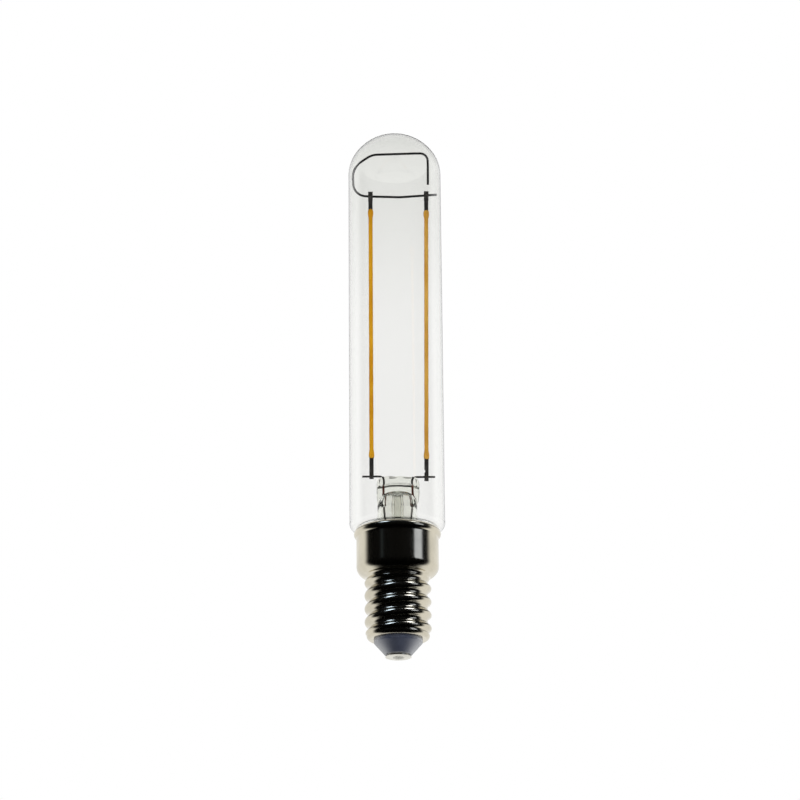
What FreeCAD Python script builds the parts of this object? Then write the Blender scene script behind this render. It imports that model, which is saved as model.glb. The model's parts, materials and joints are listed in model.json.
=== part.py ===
"""A small-screw-base tubular lamp: clear blown tube, two rigid LED filaments, glass stem, rolled
screw shell, glass insulator and the driver inside the cap.

Frame: the origin is the tip of the centre contact, +Z runs up the lamp's axis to the dome,
+X is to the right and +Y to the back of the lamp as it is looked at. Sizes are millimetres.
"""
import FreeCAD, Part
import math
import os

Vector = FreeCAD.Vector
UP = Vector(0, 0, 1)
ORIGIN = Vector(0, 0, 0)

# glass envelope
tube_diameter = 20.0
glass_wall = 0.6
dome_height = 9.1            # a little flatter than a half ball
dome_corner = 8.2            # radius where the tube turns into the dome's crown
shoulder_radius = 1.5        # where the tube is shrunk to its neck
neck_fillet = 0.5
shoulder_lift = 0.1          # glass above the rim of the shell
neck_lift = 0.3              # end of the neck above the foot of the collar

# screw shell, one rolled sheet
sheet = 0.3
contact_height = 4.1         # insulated length below the shell
shell_height = 23.4          # turned-in end to rim
collar_diameter = 17.16
rim_diameter = 18.16
rim_depth = 0.8              # widest line of the rim below its edge
rim_curve = 0.95
rim_fillet = 0.4
collar_length = 7.8          # rim edge to the start of the shoulder
shell_shoulder = 2.15
neck_blend = 0.35
end_curl = 0.8               # bend radius of the turned-in end
lip_bore = 10.1              # opening of the turned-in end

# round thread of the shell
thread_pitch = 2.822
thread_major = 13.89
thread_minor = 12.29
thread_top_gap = 4.4         # highest crest below the foot of the collar
thread_end_gap = 2.0         # lowest crest at least this far above the turned-in end

# cap insulator, moulded glass
insulator_band = 0.65        # straight part below the shell
insulator_tip_diameter = 5.64
insulator_tip_height = 0.9
insulator_inner_height = 2.6     # above the shell's turned-in end
insulator_wall = 1.5
insulator_floor = 1.0        # above the shell's turned-in end
insulator_clearance = 0.04
insulator_edge = 0.35
insulator_draft = 0.6
insulator_round = 0.4
wire_hole_diameter = 1.6

# centre contact
contact_diameter = 5.46
contact_sheet = 0.3
contact_hole_diameter = 1.1
solder_diameter = 2.6
solder_height = 0.34
solder_sink = 0.06
solder_plug = 0.5

# stem: flare tube pinched to a flat press
stem_diameter = 8.3
stem_wall = 0.8
flare_length = 6.0
stem_lean = 0.2              # the press stands this far to the right of the axis
press_width = 8.95
press_depth = 3.8
stem_height = 19.3           # end of the neck to the press's upper edge
press_flat = 3.9             # height of the flat part
press_pinch = 3.6            # height over which round turns to flat
press_squareness = 1.2       # added to the power of the round section
pinch_steps = 6
corner_shares = (0, 0.4, 0.7, 0.88, 0.98)
press_corner_width = 1.5
press_corner_height = 1.95
cavity_top_gap = 2.3         # solid glass above the hollow
cavity_power = 2.2
section_points = 20
cavity_sections = (           # share of the hollow's height, of its width and of its depth
    (0.23, 0.985, 0.85),
    (0.46, 0.78, 0.50),
    (0.70, 0.70, 0.25),
    (1.00, 0.66, 0.12),
)

# exhaust tube
exhaust_diameter = 2.5
exhaust_bore = 1.3
exhaust_tip_lift = 0.4       # above the end of the neck
exhaust_in_press = 1.2       # how far the tube is fused into the solid glass
blow_hole_diameter = 0.7

# wires in the stem
lead_diameter = 0.42
lead_spacing = 5.8           # between the two wires in the press
lead_bend = 0.6
arm_lift_left = 0.1          # middle of the arm above the press
arm_lift_right = -0.1
arm_gap_left = 2.1           # free end of the arm to the glass
arm_gap_right = 1.35
seal_depth = 2.0             # upper end of the red wire below the press's edge
seal_length = 3.7
lead_foot_spacing = 4.6      # between the two wires at the driver board
lead_board_overlap = 1.3
lead_knee = 1.2
lead_straight = 2.5
lead_knee_bend = 3.0

# filaments
coat_length = 57.0
coat_width = 0.95
coat_depth = 0.85
coat_corner = 0.38
bead_diameter = 1.2
bead_length = 1.9
bead_round = 0.5
strip_width = 0.62
strip_thickness = 0.3
chip_count = 28
chip_length = 0.75
chip_width = 0.26
chip_thickness = 0.1
chip_margin = 2.4            # bare strip at each end
tab_width = 0.9
tab_thickness = 0.2
tab_grip = 1.3               # length of tab held in the coat
crimp_width = 1.3
crimp_height = 2.2
bare_low_left = 3.8          # lower wire to the coat
bare_low_right = 3.65
bare_high = 2.9              # left coat to the support wire
filament_foot_left = -5.33   # place across the lamp at the lower wires
filament_foot_right = 6.2
filament_head_left = -5.25
filament_head_right = 6.85
tab_overrun_low = 0.5        # tab beyond the lower wires
tab_overrun_high = 1.0       # tab beyond the support wire

# support wire
support_diameter = 0.5
support_lean = 12.0          # degrees that the loop leans to the front
support_end_gap = 0.2        # middle of the wire's free end to the glass
support_side_gap = 0.42      # middle of the loop's left upright to the glass
bridge_low = 5.0             # lowest point of the bridge, across the lamp
bridge_rise_left = 0.45
bridge_rise_right = 0.3
loop_height = 9.5            # along its lean
loop_upright = 6.1
loop_left = -5.3             # where the slope meets the top
loop_right = 7.25
loop_tail = 2.5              # free end above the bridge
loop_in_dome = 4.6           # loop above the end of the straight tube
support_bends = (6.0, 1.2, 2.5, 3.0, 1.6)

# basing cement
cement_thickness = 0.58
cement_top_gap = 1.2         # below the shell's rim
cement_bottom_gap = 0.3      # above the end of the glass neck

# driver
board_width = 10.4
board_thickness = 0.8
board_gap = 1.6              # below the glass neck
slot_clearance = 0.02
rectifier_size = (3.8, 1.5, 3.2)
rectifier_height = 5.6
rectifier_side = 2.4
chip_package_size = (2.9, 1.2, 2.6)
chip_package_height = 1.6
chip_package_side = 2.4
capacitor_diameter = 4.0
capacitor_length = 7.0
capacitor_height = 2.3
capacitor_edge = 0.35
resistor_diameter = 1.7
resistor_length = 3.6
resistor_height = 4.0
resistor_side = -1.9
terminal_diameter = 0.4
terminal_bend = 0.4
resistor_edge = 0.3
resistor_hop = 0.9
resistor_tail = 0.9
wire_diameter = 0.6
neutral_rise = 3.4
neutral_step = 0.55
neutral_gap = 0.1            # below the glass neck
neutral_bend = 0.5
live_knee = 0.6
live_drop = 0.6              # above the foot of the board
live_bend = 0.9
joint_diameter = 1.0
joint_depth = 0.25

# places worked out from the sizes
tube_radius = tube_diameter / 2
rim_height = contact_height + shell_height
collar_radius = collar_diameter / 2
neck_radius = collar_radius - sheet - cement_thickness
shoulder_bottom = rim_height + shoulder_lift
shoulder_centre = shoulder_bottom + shoulder_radius
thread_middle = (thread_major + thread_minor) / 4
thread_depth = (thread_major - thread_minor) / 2
thread_curve = (thread_depth ** 2 + (thread_pitch / 2) ** 2) / (4 * thread_depth)   # crest and root arcs
collar_bottom = rim_height - collar_length
thread_top_crest = collar_bottom - thread_top_gap
thread_crests = 1 + int((thread_top_crest - contact_height - thread_end_gap) / thread_pitch)
stem_radius = stem_diameter / 2
neck_bottom = collar_bottom + neck_lift
press_top = neck_bottom + stem_height
seal_top = press_top - seal_depth
seal_bottom = seal_top - seal_length
arm_heights = {"left": press_top + arm_lift_left, "right": press_top + arm_lift_right}
bare_lows = {"left": bare_low_left, "right": bare_low_right}
bridge_height = arm_heights["left"] + bare_low_left + coat_length + bare_high
dome_base = bridge_height + loop_height - loop_in_dome
overall_length = dome_base + dome_height
lead_radius = lead_diameter / 2
support_radius = support_diameter / 2
tube_bore_radius = tube_radius - glass_wall
neck_bore_radius = neck_radius - glass_wall
insulator_top = contact_height + sheet + insulator_inner_height
board_bottom = insulator_top
board_top = neck_bottom - board_gap
board_height = board_top - board_bottom


def at(across, height):
    """A point of a lathe outline: distance from the axis and height."""
    return Vector(across, 0, height)


def line(start, end):
    return Part.LineSegment(start, end).toShape()


def arc(centre, radius, start, end):
    """An arc of an outline in the XZ plane, between two angles in degrees from +X towards +Z."""
    angles = [math.radians(start), math.radians((start + end) / 2), math.radians(end)]
    points = [centre + Vector(radius * math.cos(a), 0, radius * math.sin(a)) for a in angles]
    return Part.Arc(*points).toShape()


def turned(edges):
    """The solid turned from a closed outline in the XZ plane."""
    face = Part.Face(Part.Wire(Part.__sortEdges__(edges)))
    return face.revolve(ORIGIN, UP, 360)


def sheet_ring(path, thickness):
    """The solid turned from a path of tangent edges, with its thickness towards the axis."""
    wire = Part.Wire(Part.__sortEdges__(path))
    section = wire.makeOffset2D(thickness, 0, True, True, False)
    return section.revolve(ORIGIN, UP, 360)


def solid_of(shape):
    """The one solid of a boolean result."""
    if len(shape.Solids) != 1:
        raise ValueError("expected one solid, found %d" % len(shape.Solids))
    return shape.Solids[0]


def rod(points, radius, bends):
    """A wire bent along points, with one bend radius for each inner point."""
    edges = []
    start = points[0]
    for before, corner, after, bend in zip(points, points[1:], points[2:], bends):
        inward = (before - corner).normalize()
        outward = (after - corner).normalize()
        half = inward.getAngle(outward) / 2
        reach = bend / math.tan(half)
        middle = (inward + outward).normalize() * (bend / math.sin(half) - bend)
        enter = corner + inward * reach
        leave = corner + outward * reach
        if (enter - start).Length > 1e-6:
            edges.append(line(start, enter))
        edges.append(Part.Arc(enter, corner + middle, leave).toShape())
        start = leave
    edges.append(line(start, points[-1]))
    spine = Part.Wire(edges)
    direction = (points[1] - points[0]).normalize()
    profile = Part.Wire([Part.Circle(points[0], direction, radius).toShape()])
    return solid_of(spine.makePipeShell([profile], True, True))


def rounded(half_width, half_depth, power, height, shift=0.0):
    """A closed section, from round (power 2) to nearly a rectangle (power 4)."""
    points = []
    for i in range(section_points):
        angle = 2 * math.pi * i / section_points
        c = math.cos(angle)
        s = math.sin(angle)
        x = half_width * math.copysign(abs(c) ** (2 / power), c)
        y = half_depth * math.copysign(abs(s) ** (2 / power), s)
        points.append(Vector(x + shift, y, height))
    curve = Part.BSplineCurve()
    curve.interpolate(Points=points, PeriodicFlag=True)
    return Part.Wire([curve.toShape()])


def glass_envelope():
    """The blown tube: dome, tube, shoulder and neck, of even wall."""
    corner_across = tube_radius - dome_corner
    spare = dome_height - dome_corner
    crown_drop = (corner_across ** 2 - spare ** 2) / (2 * spare)
    crown = dome_height + crown_drop
    crown_turn = math.degrees(math.atan2(crown_drop, corner_across))
    turn = at(tube_radius - shoulder_radius, shoulder_centre)
    root = at(neck_radius + neck_fillet, shoulder_bottom - neck_fillet)

    def skin(inset):
        """Outline of the outer surface, or of the inner one at the depth of the wall."""
        wall = tube_radius - inset
        shelf = shoulder_bottom + inset
        neck = neck_radius - inset
        return [
            arc(at(0, dome_base - crown_drop), crown - inset, crown_turn, 90),
            arc(at(corner_across, dome_base), dome_corner - inset, 0, crown_turn),
            line(at(wall, dome_base), at(wall, shoulder_centre)),
            arc(turn, shoulder_radius - inset, 0, -90),
            line(at(turn.x, shelf), at(root.x, shelf)),
            arc(root, neck_fillet + inset, 90, 180),
            line(at(neck, root.z), at(neck, neck_bottom)),
        ]

    top = line(at(0, overall_length), at(0, overall_length - glass_wall))
    neck_end = line(at(neck_radius, neck_bottom), at(neck_bore_radius, neck_bottom))
    return turned(skin(0) + skin(glass_wall) + [top, neck_end])


def press_section(height, inset=0.0):
    """The stem's section at a height: round below, pinched flat above, corners rounded at the top."""
    flat_bottom = press_top - press_flat
    round_top = flat_bottom - press_pinch
    share = min(max((height - round_top) / press_pinch, 0), 1)
    eased = share * share * (3 - 2 * share)
    half_width = stem_radius + (press_width / 2 - stem_radius) * eased
    half_depth = stem_radius + (press_depth / 2 - stem_radius) * eased
    corner = (height - (press_top - press_corner_height)) / press_corner_height
    if corner > 0:
        half_width -= press_corner_width * (1 - math.sqrt(max(1 - corner * corner, 0)))
    power = 2 + press_squareness * eased
    return rounded(half_width - inset, half_depth - inset, power, height, stem_lean * eased)


def stem_glass():
    """Flare tube and press as one piece of glass, not yet cut for its wires and exhaust tube."""
    round_top = press_top - press_flat - press_pinch
    corner_bottom = press_top - press_corner_height
    heights = [round_top + press_pinch * k / pinch_steps for k in range(pinch_steps + 1)]
    heights += [corner_bottom + press_corner_height * share for share in corner_shares]
    body = Part.makeLoft([press_section(height) for height in heights], True)
    bore = stem_radius - stem_wall
    hollow_height = press_top - cavity_top_gap - round_top
    hollow_sections = [rounded(bore, bore, 2, round_top)]
    for share, width, depth in cavity_sections:
        height = round_top + hollow_height * share
        hollow_sections.append(
            rounded(bore * width, bore * depth, cavity_power, height, stem_lean * share)
        )
    press = body.cut(Part.makeLoft(hollow_sections, True))
    flare_top = neck_bottom + flare_length
    flare_rim_top = neck_bottom + stem_wall

    def bell(radius, height):
        """Quarter of an ellipse from the tube's wall out to the neck of the envelope."""
        centre = at(neck_bore_radius, flare_top)
        across = centre.x - radius
        if across > height:
            ellipse = Part.Ellipse(at(radius, flare_top), at(centre.x, flare_top - height), centre)
            return Part.ArcOfEllipse(ellipse, 0, math.pi / 2).toShape()
        ellipse = Part.Ellipse(at(centre.x, flare_top - height), at(centre.x + across, flare_top), centre)
        return Part.ArcOfEllipse(ellipse, -math.pi / 2, 0).toShape()

    flare = turned([
        bell(stem_radius, flare_top - flare_rim_top),
        bell(bore, flare_length),
        line(at(neck_bore_radius, flare_rim_top), at(neck_bore_radius, neck_bottom)),
        line(at(stem_radius, flare_top), at(stem_radius, round_top)),
        line(at(bore, flare_top), at(bore, round_top)),
        line(at(bore, round_top), at(stem_radius, round_top)),
    ])
    return solid_of(flare.fuse([press], 0.001))


def exhaust_tube():
    """Thin tube on the stem's axis, fused into the press and melted shut below."""
    outer = exhaust_diameter / 2
    inner = exhaust_bore / 2
    top = press_top - cavity_top_gap + exhaust_in_press
    tip = neck_bottom + exhaust_tip_lift
    melt = at(0, tip + outer)
    tube = turned([
        arc(melt, outer, -90, 0),
        line(at(outer, melt.z), at(outer, top)),
        line(at(outer, top), at(inner, top)),
        line(at(inner, top), at(inner, melt.z)),
        arc(melt, inner, -90, 0),
        line(at(0, melt.z - inner), at(0, tip)),
    ])
    tube.translate(Vector(stem_lean / 2, 0, 0))
    return tube


def exhaust_hole():
    """Pump hole from the exhaust tube's mouth out of the press's back."""
    height = press_top - cavity_top_gap + exhaust_in_press - blow_hole_diameter
    return Part.makeCylinder(
        blow_hole_diameter / 2, press_depth, Vector(stem_lean / 2, 0, height), Vector(0, 1, 0)
    )


def screw_shell():
    """Rim, collar, shoulder, knuckle thread and turned-in end of the rolled sheet."""
    rim_centre = at(rim_diameter / 2 - rim_curve, rim_height - rim_depth)
    side = collar_radius + rim_fillet - rim_centre.x
    drop = math.sqrt((rim_curve + rim_fillet) ** 2 - side ** 2)
    rim_root = at(collar_radius + rim_fillet, rim_centre.z - drop)
    rim_turn = math.degrees(math.atan2(-drop, side))
    rim_edge = math.degrees(math.asin(rim_depth / rim_curve))
    shoulder = at(collar_radius - shell_shoulder, collar_bottom)
    side = thread_middle + neck_blend - shoulder.x
    drop = math.sqrt((shell_shoulder + neck_blend) ** 2 - side ** 2)
    neck = at(thread_middle + neck_blend, shoulder.z - drop)
    neck_turn = math.degrees(math.atan2(-drop, side))
    path = [
        arc(rim_centre, rim_curve, rim_edge, rim_turn),
        arc(rim_root, rim_fillet, 180 + rim_turn, 180),
        line(at(collar_radius, rim_root.z), at(collar_radius, shoulder.z)),
        arc(shoulder, shell_shoulder, 0, neck_turn),
        arc(neck, neck_blend, 180 + neck_turn, 180),
    ]

    crest_across = thread_major / 2 - thread_curve
    root_across = thread_minor / 2 + thread_curve
    flank = math.degrees(math.atan2(thread_pitch / 2, root_across - crest_across))
    run_out_side = thread_middle + thread_curve - crest_across
    run_out = math.sqrt((2 * thread_curve) ** 2 - run_out_side ** 2)
    run_out_turn = math.degrees(math.atan2(run_out, run_out_side))
    crests = [thread_top_crest - thread_pitch * k for k in range(thread_crests)]
    top = at(thread_middle + thread_curve, crests[0] + run_out)
    bottom = at(thread_middle + thread_curve, crests[-1] - run_out)
    path.append(line(at(thread_middle, neck.z), at(thread_middle, top.z)))
    path.append(arc(top, thread_curve, 180, 180 + run_out_turn))
    for k, height in enumerate(crests):
        upper = run_out_turn if k == 0 else flank
        lower = run_out_turn if k == thread_crests - 1 else flank
        path.append(arc(at(crest_across, height), thread_curve, upper, -lower))
        if k < thread_crests - 1:
            root = at(root_across, height - thread_pitch / 2)
            path.append(arc(root, thread_curve, 180 - flank, 180 + flank))
    path.append(arc(bottom, thread_curve, 180 - run_out_turn, 180))

    curl = at(thread_middle - end_curl, contact_height + end_curl)
    path.append(line(at(thread_middle, bottom.z), at(thread_middle, curl.z)))
    path.append(arc(curl, end_curl, 0, -90))
    path.append(line(at(curl.x, contact_height), at(lip_bore / 2, contact_height)))
    return solid_of(sheet_ring(path, -sheet))


def cap_insulator():
    """Moulded glass: a cone below the shell and a hollow cup inside it, with the wire's hole."""
    neck = lip_bore / 2
    seat = contact_height + sheet
    body = thread_minor / 2 - sheet - insulator_clearance
    band_bottom = contact_height - insulator_band
    tip = insulator_tip_diameter / 2
    hole = wire_hole_diameter / 2
    floor = contact_height + insulator_floor
    cup = body - insulator_wall
    chamfer = insulator_edge
    corners = [
        at(hole, insulator_tip_height),
        at(tip, insulator_tip_height),
        at(neck, band_bottom),
        at(neck, seat),
        at(body - chamfer, seat),
        at(body, seat + chamfer),
        at(body, insulator_top),
        at(cup, insulator_top),
        at(cup - insulator_draft, floor),
        at(hole, floor),
    ]
    edges = [line(a, b) for a, b in zip(corners, corners[1:] + corners[:1])]
    cone = turned(edges)
    band = [
        edge for edge in cone.Edges
        if abs(edge.BoundBox.ZMax - band_bottom) < 1e-6 and abs(edge.BoundBox.ZMin - band_bottom) < 1e-6
    ]
    return solid_of(cone.makeFillet(insulator_round, band))


def contact_plate():
    """Domed metal plate under the insulator, with a hole for the wire."""
    edge = contact_diameter / 2
    hole = contact_hole_diameter / 2
    rise = insulator_tip_height - (solder_height - solder_sink)
    radius = (edge * edge + rise * rise) / (2 * rise)
    centre = at(0, insulator_tip_height - rise + radius)
    outer = math.degrees(math.acos(edge / radius))
    low = math.degrees(math.acos(hole / radius))
    inner_radius = radius - contact_sheet
    inner_low = math.degrees(math.acos(hole / inner_radius))
    inner_edge = math.sqrt(inner_radius ** 2 - (radius - rise) ** 2)
    inner_outer = math.degrees(math.acos(inner_edge / inner_radius))
    start = arc(centre, radius, -outer, -low)
    inside = arc(centre, inner_radius, -inner_outer, -inner_low)
    top = line(at(edge, insulator_tip_height), at(inner_edge, insulator_tip_height))
    bore = line(start.Vertexes[1].Point, inside.Vertexes[1].Point)
    return turned([start, inside, top, bore])


def contact_solder():
    """Solder on the plate's hole, the lowest point of the lamp."""
    radius = solder_diameter / 2
    sphere = (radius ** 2 + solder_height ** 2) / (2 * solder_height)
    centre = at(0, sphere)
    side = math.degrees(math.acos(radius / sphere))
    top = solder_height + solder_plug
    plug = contact_hole_diameter / 2
    cap = turned([
        arc(centre, sphere, -90, -side),
        line(at(radius, solder_height), at(plug, top)),
        line(at(plug, top), at(0, top)),
        line(at(0, top), at(0, 0)),
    ])
    return cap


def basing_cement():
    """Ring that holds the glass neck in the collar."""
    height = rim_height - cement_top_gap - (neck_bottom + cement_bottom_gap)
    foot = at(0, neck_bottom + cement_bottom_gap)
    ring = Part.makeCylinder(collar_radius - sheet, height, foot)
    return ring.cut(Part.makeCylinder(neck_radius, height, foot))


def filament_place(side):
    """Foot, head and middle of a filament's axis, from the wires that carry it."""
    left = side == "left"
    foot = Vector(filament_foot_left if left else filament_foot_right, 0, arm_heights[side])
    head = Vector(filament_head_left if left else filament_head_right, 0, bridge_height)
    axis = (head - foot).normalize()
    middle = foot + axis * ((bare_lows[side] + coat_length / 2) / axis.z)
    return foot, head, middle


def stand(shape, side):
    """Moves a filament piece, drawn about its middle, to its place."""
    foot, head, middle = filament_place(side)
    tilt = math.degrees(math.atan2(head.x - foot.x, head.z - foot.z))
    shape.rotate(ORIGIN, Vector(0, 1, 0), tilt)
    shape.translate(middle)
    return shape


def block(width, depth, height, centre):
    corner = centre - Vector(width / 2, depth / 2, height / 2)
    return Part.makeBox(width, depth, height, corner)


def strip_shape():
    """The carrier that the chips are bonded to."""
    return block(strip_width, strip_thickness, coat_length, ORIGIN)


def chip_shapes():
    """A row of chips on the front of the strip."""
    first = -coat_length / 2 + chip_margin
    step = (coat_length - 2 * chip_margin) / (chip_count - 1)
    front = -(strip_thickness + chip_thickness) / 2
    return [
        block(chip_width, chip_thickness, chip_length, Vector(0, front, first + step * k))
        for k in range(chip_count)
    ]


def coat_shape():
    """Phosphor coat: a round-cornered bar with a bead at each end."""
    bar = block(coat_width, coat_depth, coat_length, ORIGIN)
    bar = bar.makeFillet(coat_corner, [e for e in bar.Edges if e.BoundBox.ZLength > coat_length / 2])
    for end in (-1, 1):
        foot = at(0, end * (coat_length - bead_length) / 2 - bead_length / 2)
        bead = Part.makeCylinder(bead_diameter / 2, bead_length, foot)
        bead = bead.makeFillet(bead_round, [e for e in bead.Edges if e.BoundBox.ZLength < 0.01])
        bar = bar.fuse(bead)
    return solid_of(bar)


def tab_shape(side, end):
    """Metal tab at one end: held in the coat, welded to its wire, a little wider at the head."""
    foot, head, middle = filament_place(side)
    inner = coat_length / 2 - tab_grip
    low = end == "lower"
    reach = (middle - foot).Length if low else (head - middle).Length
    overrun = tab_overrun_low if low else tab_overrun_high
    length = reach + overrun - inner
    front = -(strip_thickness + tab_thickness) / 2
    centre = inner + length / 2
    tab = block(tab_width, tab_thickness, length, Vector(0, front, -centre if low else centre))
    if not low:
        crimp_centre = inner + length - crimp_height / 2
        crimp = block(crimp_width, tab_thickness, crimp_height, Vector(0, front, crimp_centre))
        tab = tab.fuse(crimp).removeSplitter()
    return tab


def lead_across(side):
    """Place of a stem wire in the press, across the lamp."""
    return stem_lean + (-lead_spacing if side == "left" else lead_spacing) / 2


def lead_foot(side):
    """Place of a stem wire at the driver board, across the lamp."""
    return (stem_lean + (-lead_foot_spacing if side == "left" else lead_foot_spacing)) / 2


def upper_lead(side):
    """The arm that carries a filament, bent down into the press."""
    tail = arm_gap_left - tube_bore_radius if side == "left" else tube_bore_radius - arm_gap_right
    height = arm_heights[side]
    across = lead_across(side)
    points = [Vector(tail, 0, height), Vector(across, 0, height), Vector(across, 0, seal_top)]
    return rod(points, lead_radius, [lead_bend])


def seal_wire(side):
    """The red stretch that the glass seals to."""
    return Part.makeCylinder(lead_radius, seal_length, Vector(lead_across(side), 0, seal_bottom))


def lower_lead(side):
    """From the press down to the driver board."""
    across = lead_across(side)
    foot = lead_foot(side)
    knee_top = seal_bottom - lead_knee
    knee_bottom = board_top + lead_straight
    points = [
        Vector(across, 0, seal_bottom),
        Vector(across, 0, knee_top),
        Vector(foot, 0, knee_bottom),
        Vector(foot, 0, board_top - lead_board_overlap),
    ]
    return rod(points, lead_radius, [lead_knee_bend, lead_knee_bend])


def support_wire():
    """Bridge across the filaments' heads, then a loop up the glass, over and down."""
    lean = math.radians(support_lean)
    along = Vector(0, -math.sin(lean), math.cos(lean))
    base = Vector(0, 0, bridge_height)

    left = support_side_gap - tube_bore_radius
    right = tube_bore_radius - support_end_gap
    route = [
        (right, bridge_rise_right),
        (bridge_low, 0),
        (left, bridge_rise_left),
        (left, loop_upright),
        (loop_left, loop_height),
        (loop_right, loop_height),
        (loop_right, loop_tail),
    ]
    points = [base + Vector(across, 0, 0) + along * rise for across, rise in route]
    return rod(points, support_radius, support_bends)


def driver_board():
    """Upright board that stands on the insulator, slotted for the stem's wires."""
    board = Part.makeBox(
        board_width, board_thickness, board_height,
        Vector(-board_width / 2, -board_thickness / 2, board_bottom),
    )
    for side in ("left", "right"):
        width = lead_diameter + 2 * slot_clearance
        depth = lead_board_overlap + slot_clearance
        corner = Vector(lead_foot(side) - width / 2, -board_thickness / 2, board_top - depth)
        slot = Part.makeBox(width, board_thickness, depth, corner)
        board = board.cut(slot)
    return solid_of(board)


def package(size, across, height, side):
    """A moulded component flat on the board, on its front (-1) or back (1)."""
    width, depth, length = size
    centre = Vector(across, side * (board_thickness + depth) / 2, height + length / 2)
    return block(width, depth, length, centre)


def capacitor():
    """Round can that stands at the back of the board."""
    radius = capacitor_diameter / 2
    foot = Vector(0, board_thickness / 2 + radius, board_bottom + capacitor_height)
    can = Part.makeCylinder(radius, capacitor_length, foot)
    rims = [e for e in can.Edges if e.BoundBox.ZLength < 0.01]
    return solid_of(can.makeFillet(capacitor_edge, rims))


def resistor():
    """Axial resistor at the front of the board: body with its two stiff wires."""
    radius = resistor_diameter / 2
    depth = -(board_thickness / 2 + radius)
    low = board_bottom + resistor_height
    high = low + resistor_length
    body = Part.makeCylinder(radius, resistor_length, Vector(resistor_side, depth, low))
    rims = [e for e in body.Edges if e.BoundBox.ZLength < 0.01]
    body = body.makeFillet(resistor_edge, rims)
    terminal = terminal_diameter / 2
    over = high + resistor_hop
    upper = rod(
        [
            Vector(resistor_side, depth, high - resistor_edge),
            Vector(resistor_side, depth, over),
            Vector(resistor_side, -board_thickness / 2, over),
        ],
        terminal,
        [terminal_bend],
    )
    lower = Part.makeCylinder(
        terminal, resistor_tail + resistor_edge,
        Vector(resistor_side, depth, low - resistor_tail),
    )
    return solid_of(body.fuse([upper, lower]))


def live_wire():
    """From the resistor down past the board's foot and through the insulator to the solder."""
    depth = -(board_thickness / 2 + resistor_diameter / 2)
    points = [
        Vector(resistor_side, depth, board_bottom + resistor_height - resistor_tail),
        Vector(resistor_side, depth, board_bottom + live_drop),
        Vector(0, 0, contact_height + insulator_floor + live_knee),
        Vector(0, 0, solder_height + solder_plug),
    ]
    return rod(points, wire_diameter / 2, [live_bend, live_bend])


def neutral_points():
    """From the board's edge up the shell's neck and out to the inside of the collar."""
    edge = board_width / 2
    high = neck_bottom - neutral_gap - wire_diameter / 2
    low = high - neutral_rise
    return [
        Vector(edge, 0, low),
        Vector(edge + neutral_step, 0, low),
        Vector(edge + neutral_step, 0, high),
        Vector(collar_radius - sheet, 0, high),
    ]


def neutral_wire():
    return rod(neutral_points(), wire_diameter / 2, [neutral_bend, neutral_bend])


def neutral_joint():
    """Solder bead that joins the neutral wire to the shell."""
    end = neutral_points()[-1]
    return Part.makeSphere(joint_diameter / 2, end - Vector(joint_depth, 0, 0))


def write(node, shape):
    if not shape.isValid():
        raise ValueError("node %s is not a valid solid" % node)
    shape.exportStep("parts/%s.step" % node)


def main():
    os.makedirs("parts", exist_ok=True)
    sides = ("left", "right")
    envelope = glass_envelope()
    stem = stem_glass()
    exhaust = exhaust_tube()
    uppers = {side: upper_lead(side) for side in sides}
    seals = {side: seal_wire(side) for side in sides}
    lowers = {side: lower_lead(side) for side in sides}
    wires = list(uppers.values()) + list(seals.values()) + list(lowers.values())
    stem = solid_of(stem.cut(wires + [exhaust, exhaust_hole()]))
    support = support_wire()
    write("glass_envelope", envelope)
    write("stem_glass", stem)
    write("exhaust_tube", exhaust)
    write("support_wire", support)
    shell = screw_shell()
    neutral = solid_of(neutral_wire().cut(shell))
    write("screw_shell", shell)
    write("neutral_wire", neutral)
    write("neutral_solder", solid_of(neutral_joint().cut([shell, neutral])))
    write("cap_insulator", cap_insulator())
    write("contact_plate", contact_plate())
    write("contact_solder", solid_of(contact_solder().cut(contact_plate())))
    write("basing_cement", basing_cement())
    write("driver_board", driver_board())
    write("bridge_rectifier", package(rectifier_size, rectifier_side, board_bottom + rectifier_height, -1))
    write("driver_chip", package(chip_package_size, chip_package_side, board_bottom + chip_package_height, -1))
    write("reservoir_capacitor", capacitor())
    write("fusible_resistor", resistor())
    write("live_wire", live_wire())
    for side in sides:
        write("upper_lead_%s" % side, uppers[side])
        write("seal_wire_%s" % side, seals[side])
        write("lower_lead_%s" % side, lowers[side])
        strip = stand(strip_shape(), side)
        chips = [stand(chip, side) for chip in chip_shapes()]
        tabs = {
            "lower": stand(tab_shape(side, "lower"), side).cut(uppers[side]),
            "upper": stand(tab_shape(side, "upper"), side).cut(support),
        }
        coat = stand(coat_shape(), side).cut([strip] + chips + list(tabs.values()))
        write("filament_strip_%s" % side, strip)
        write("led_chips_%s" % side, Part.makeCompound(chips))
        write("phosphor_coat_%s" % side, solid_of(coat))
        for end, tab in tabs.items():
            write("filament_tab_%s_%s" % (end, side), solid_of(tab))


if __name__ == "__main__":
    main()
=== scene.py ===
"""Finishes the tubular lamp: clear blown glass, pinched stem, bent wires, amber filaments and a
nickelled screw shell with its glass insulator and soldered contact. Sizes are metres, and the
settings are written in millimetres.
"""
import json
import math

import bmesh
import bpy
from bpy.props import FloatProperty, FloatVectorProperty, IntProperty, PointerProperty
from mathutils import Euler, Matrix, Vector, noise

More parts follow.
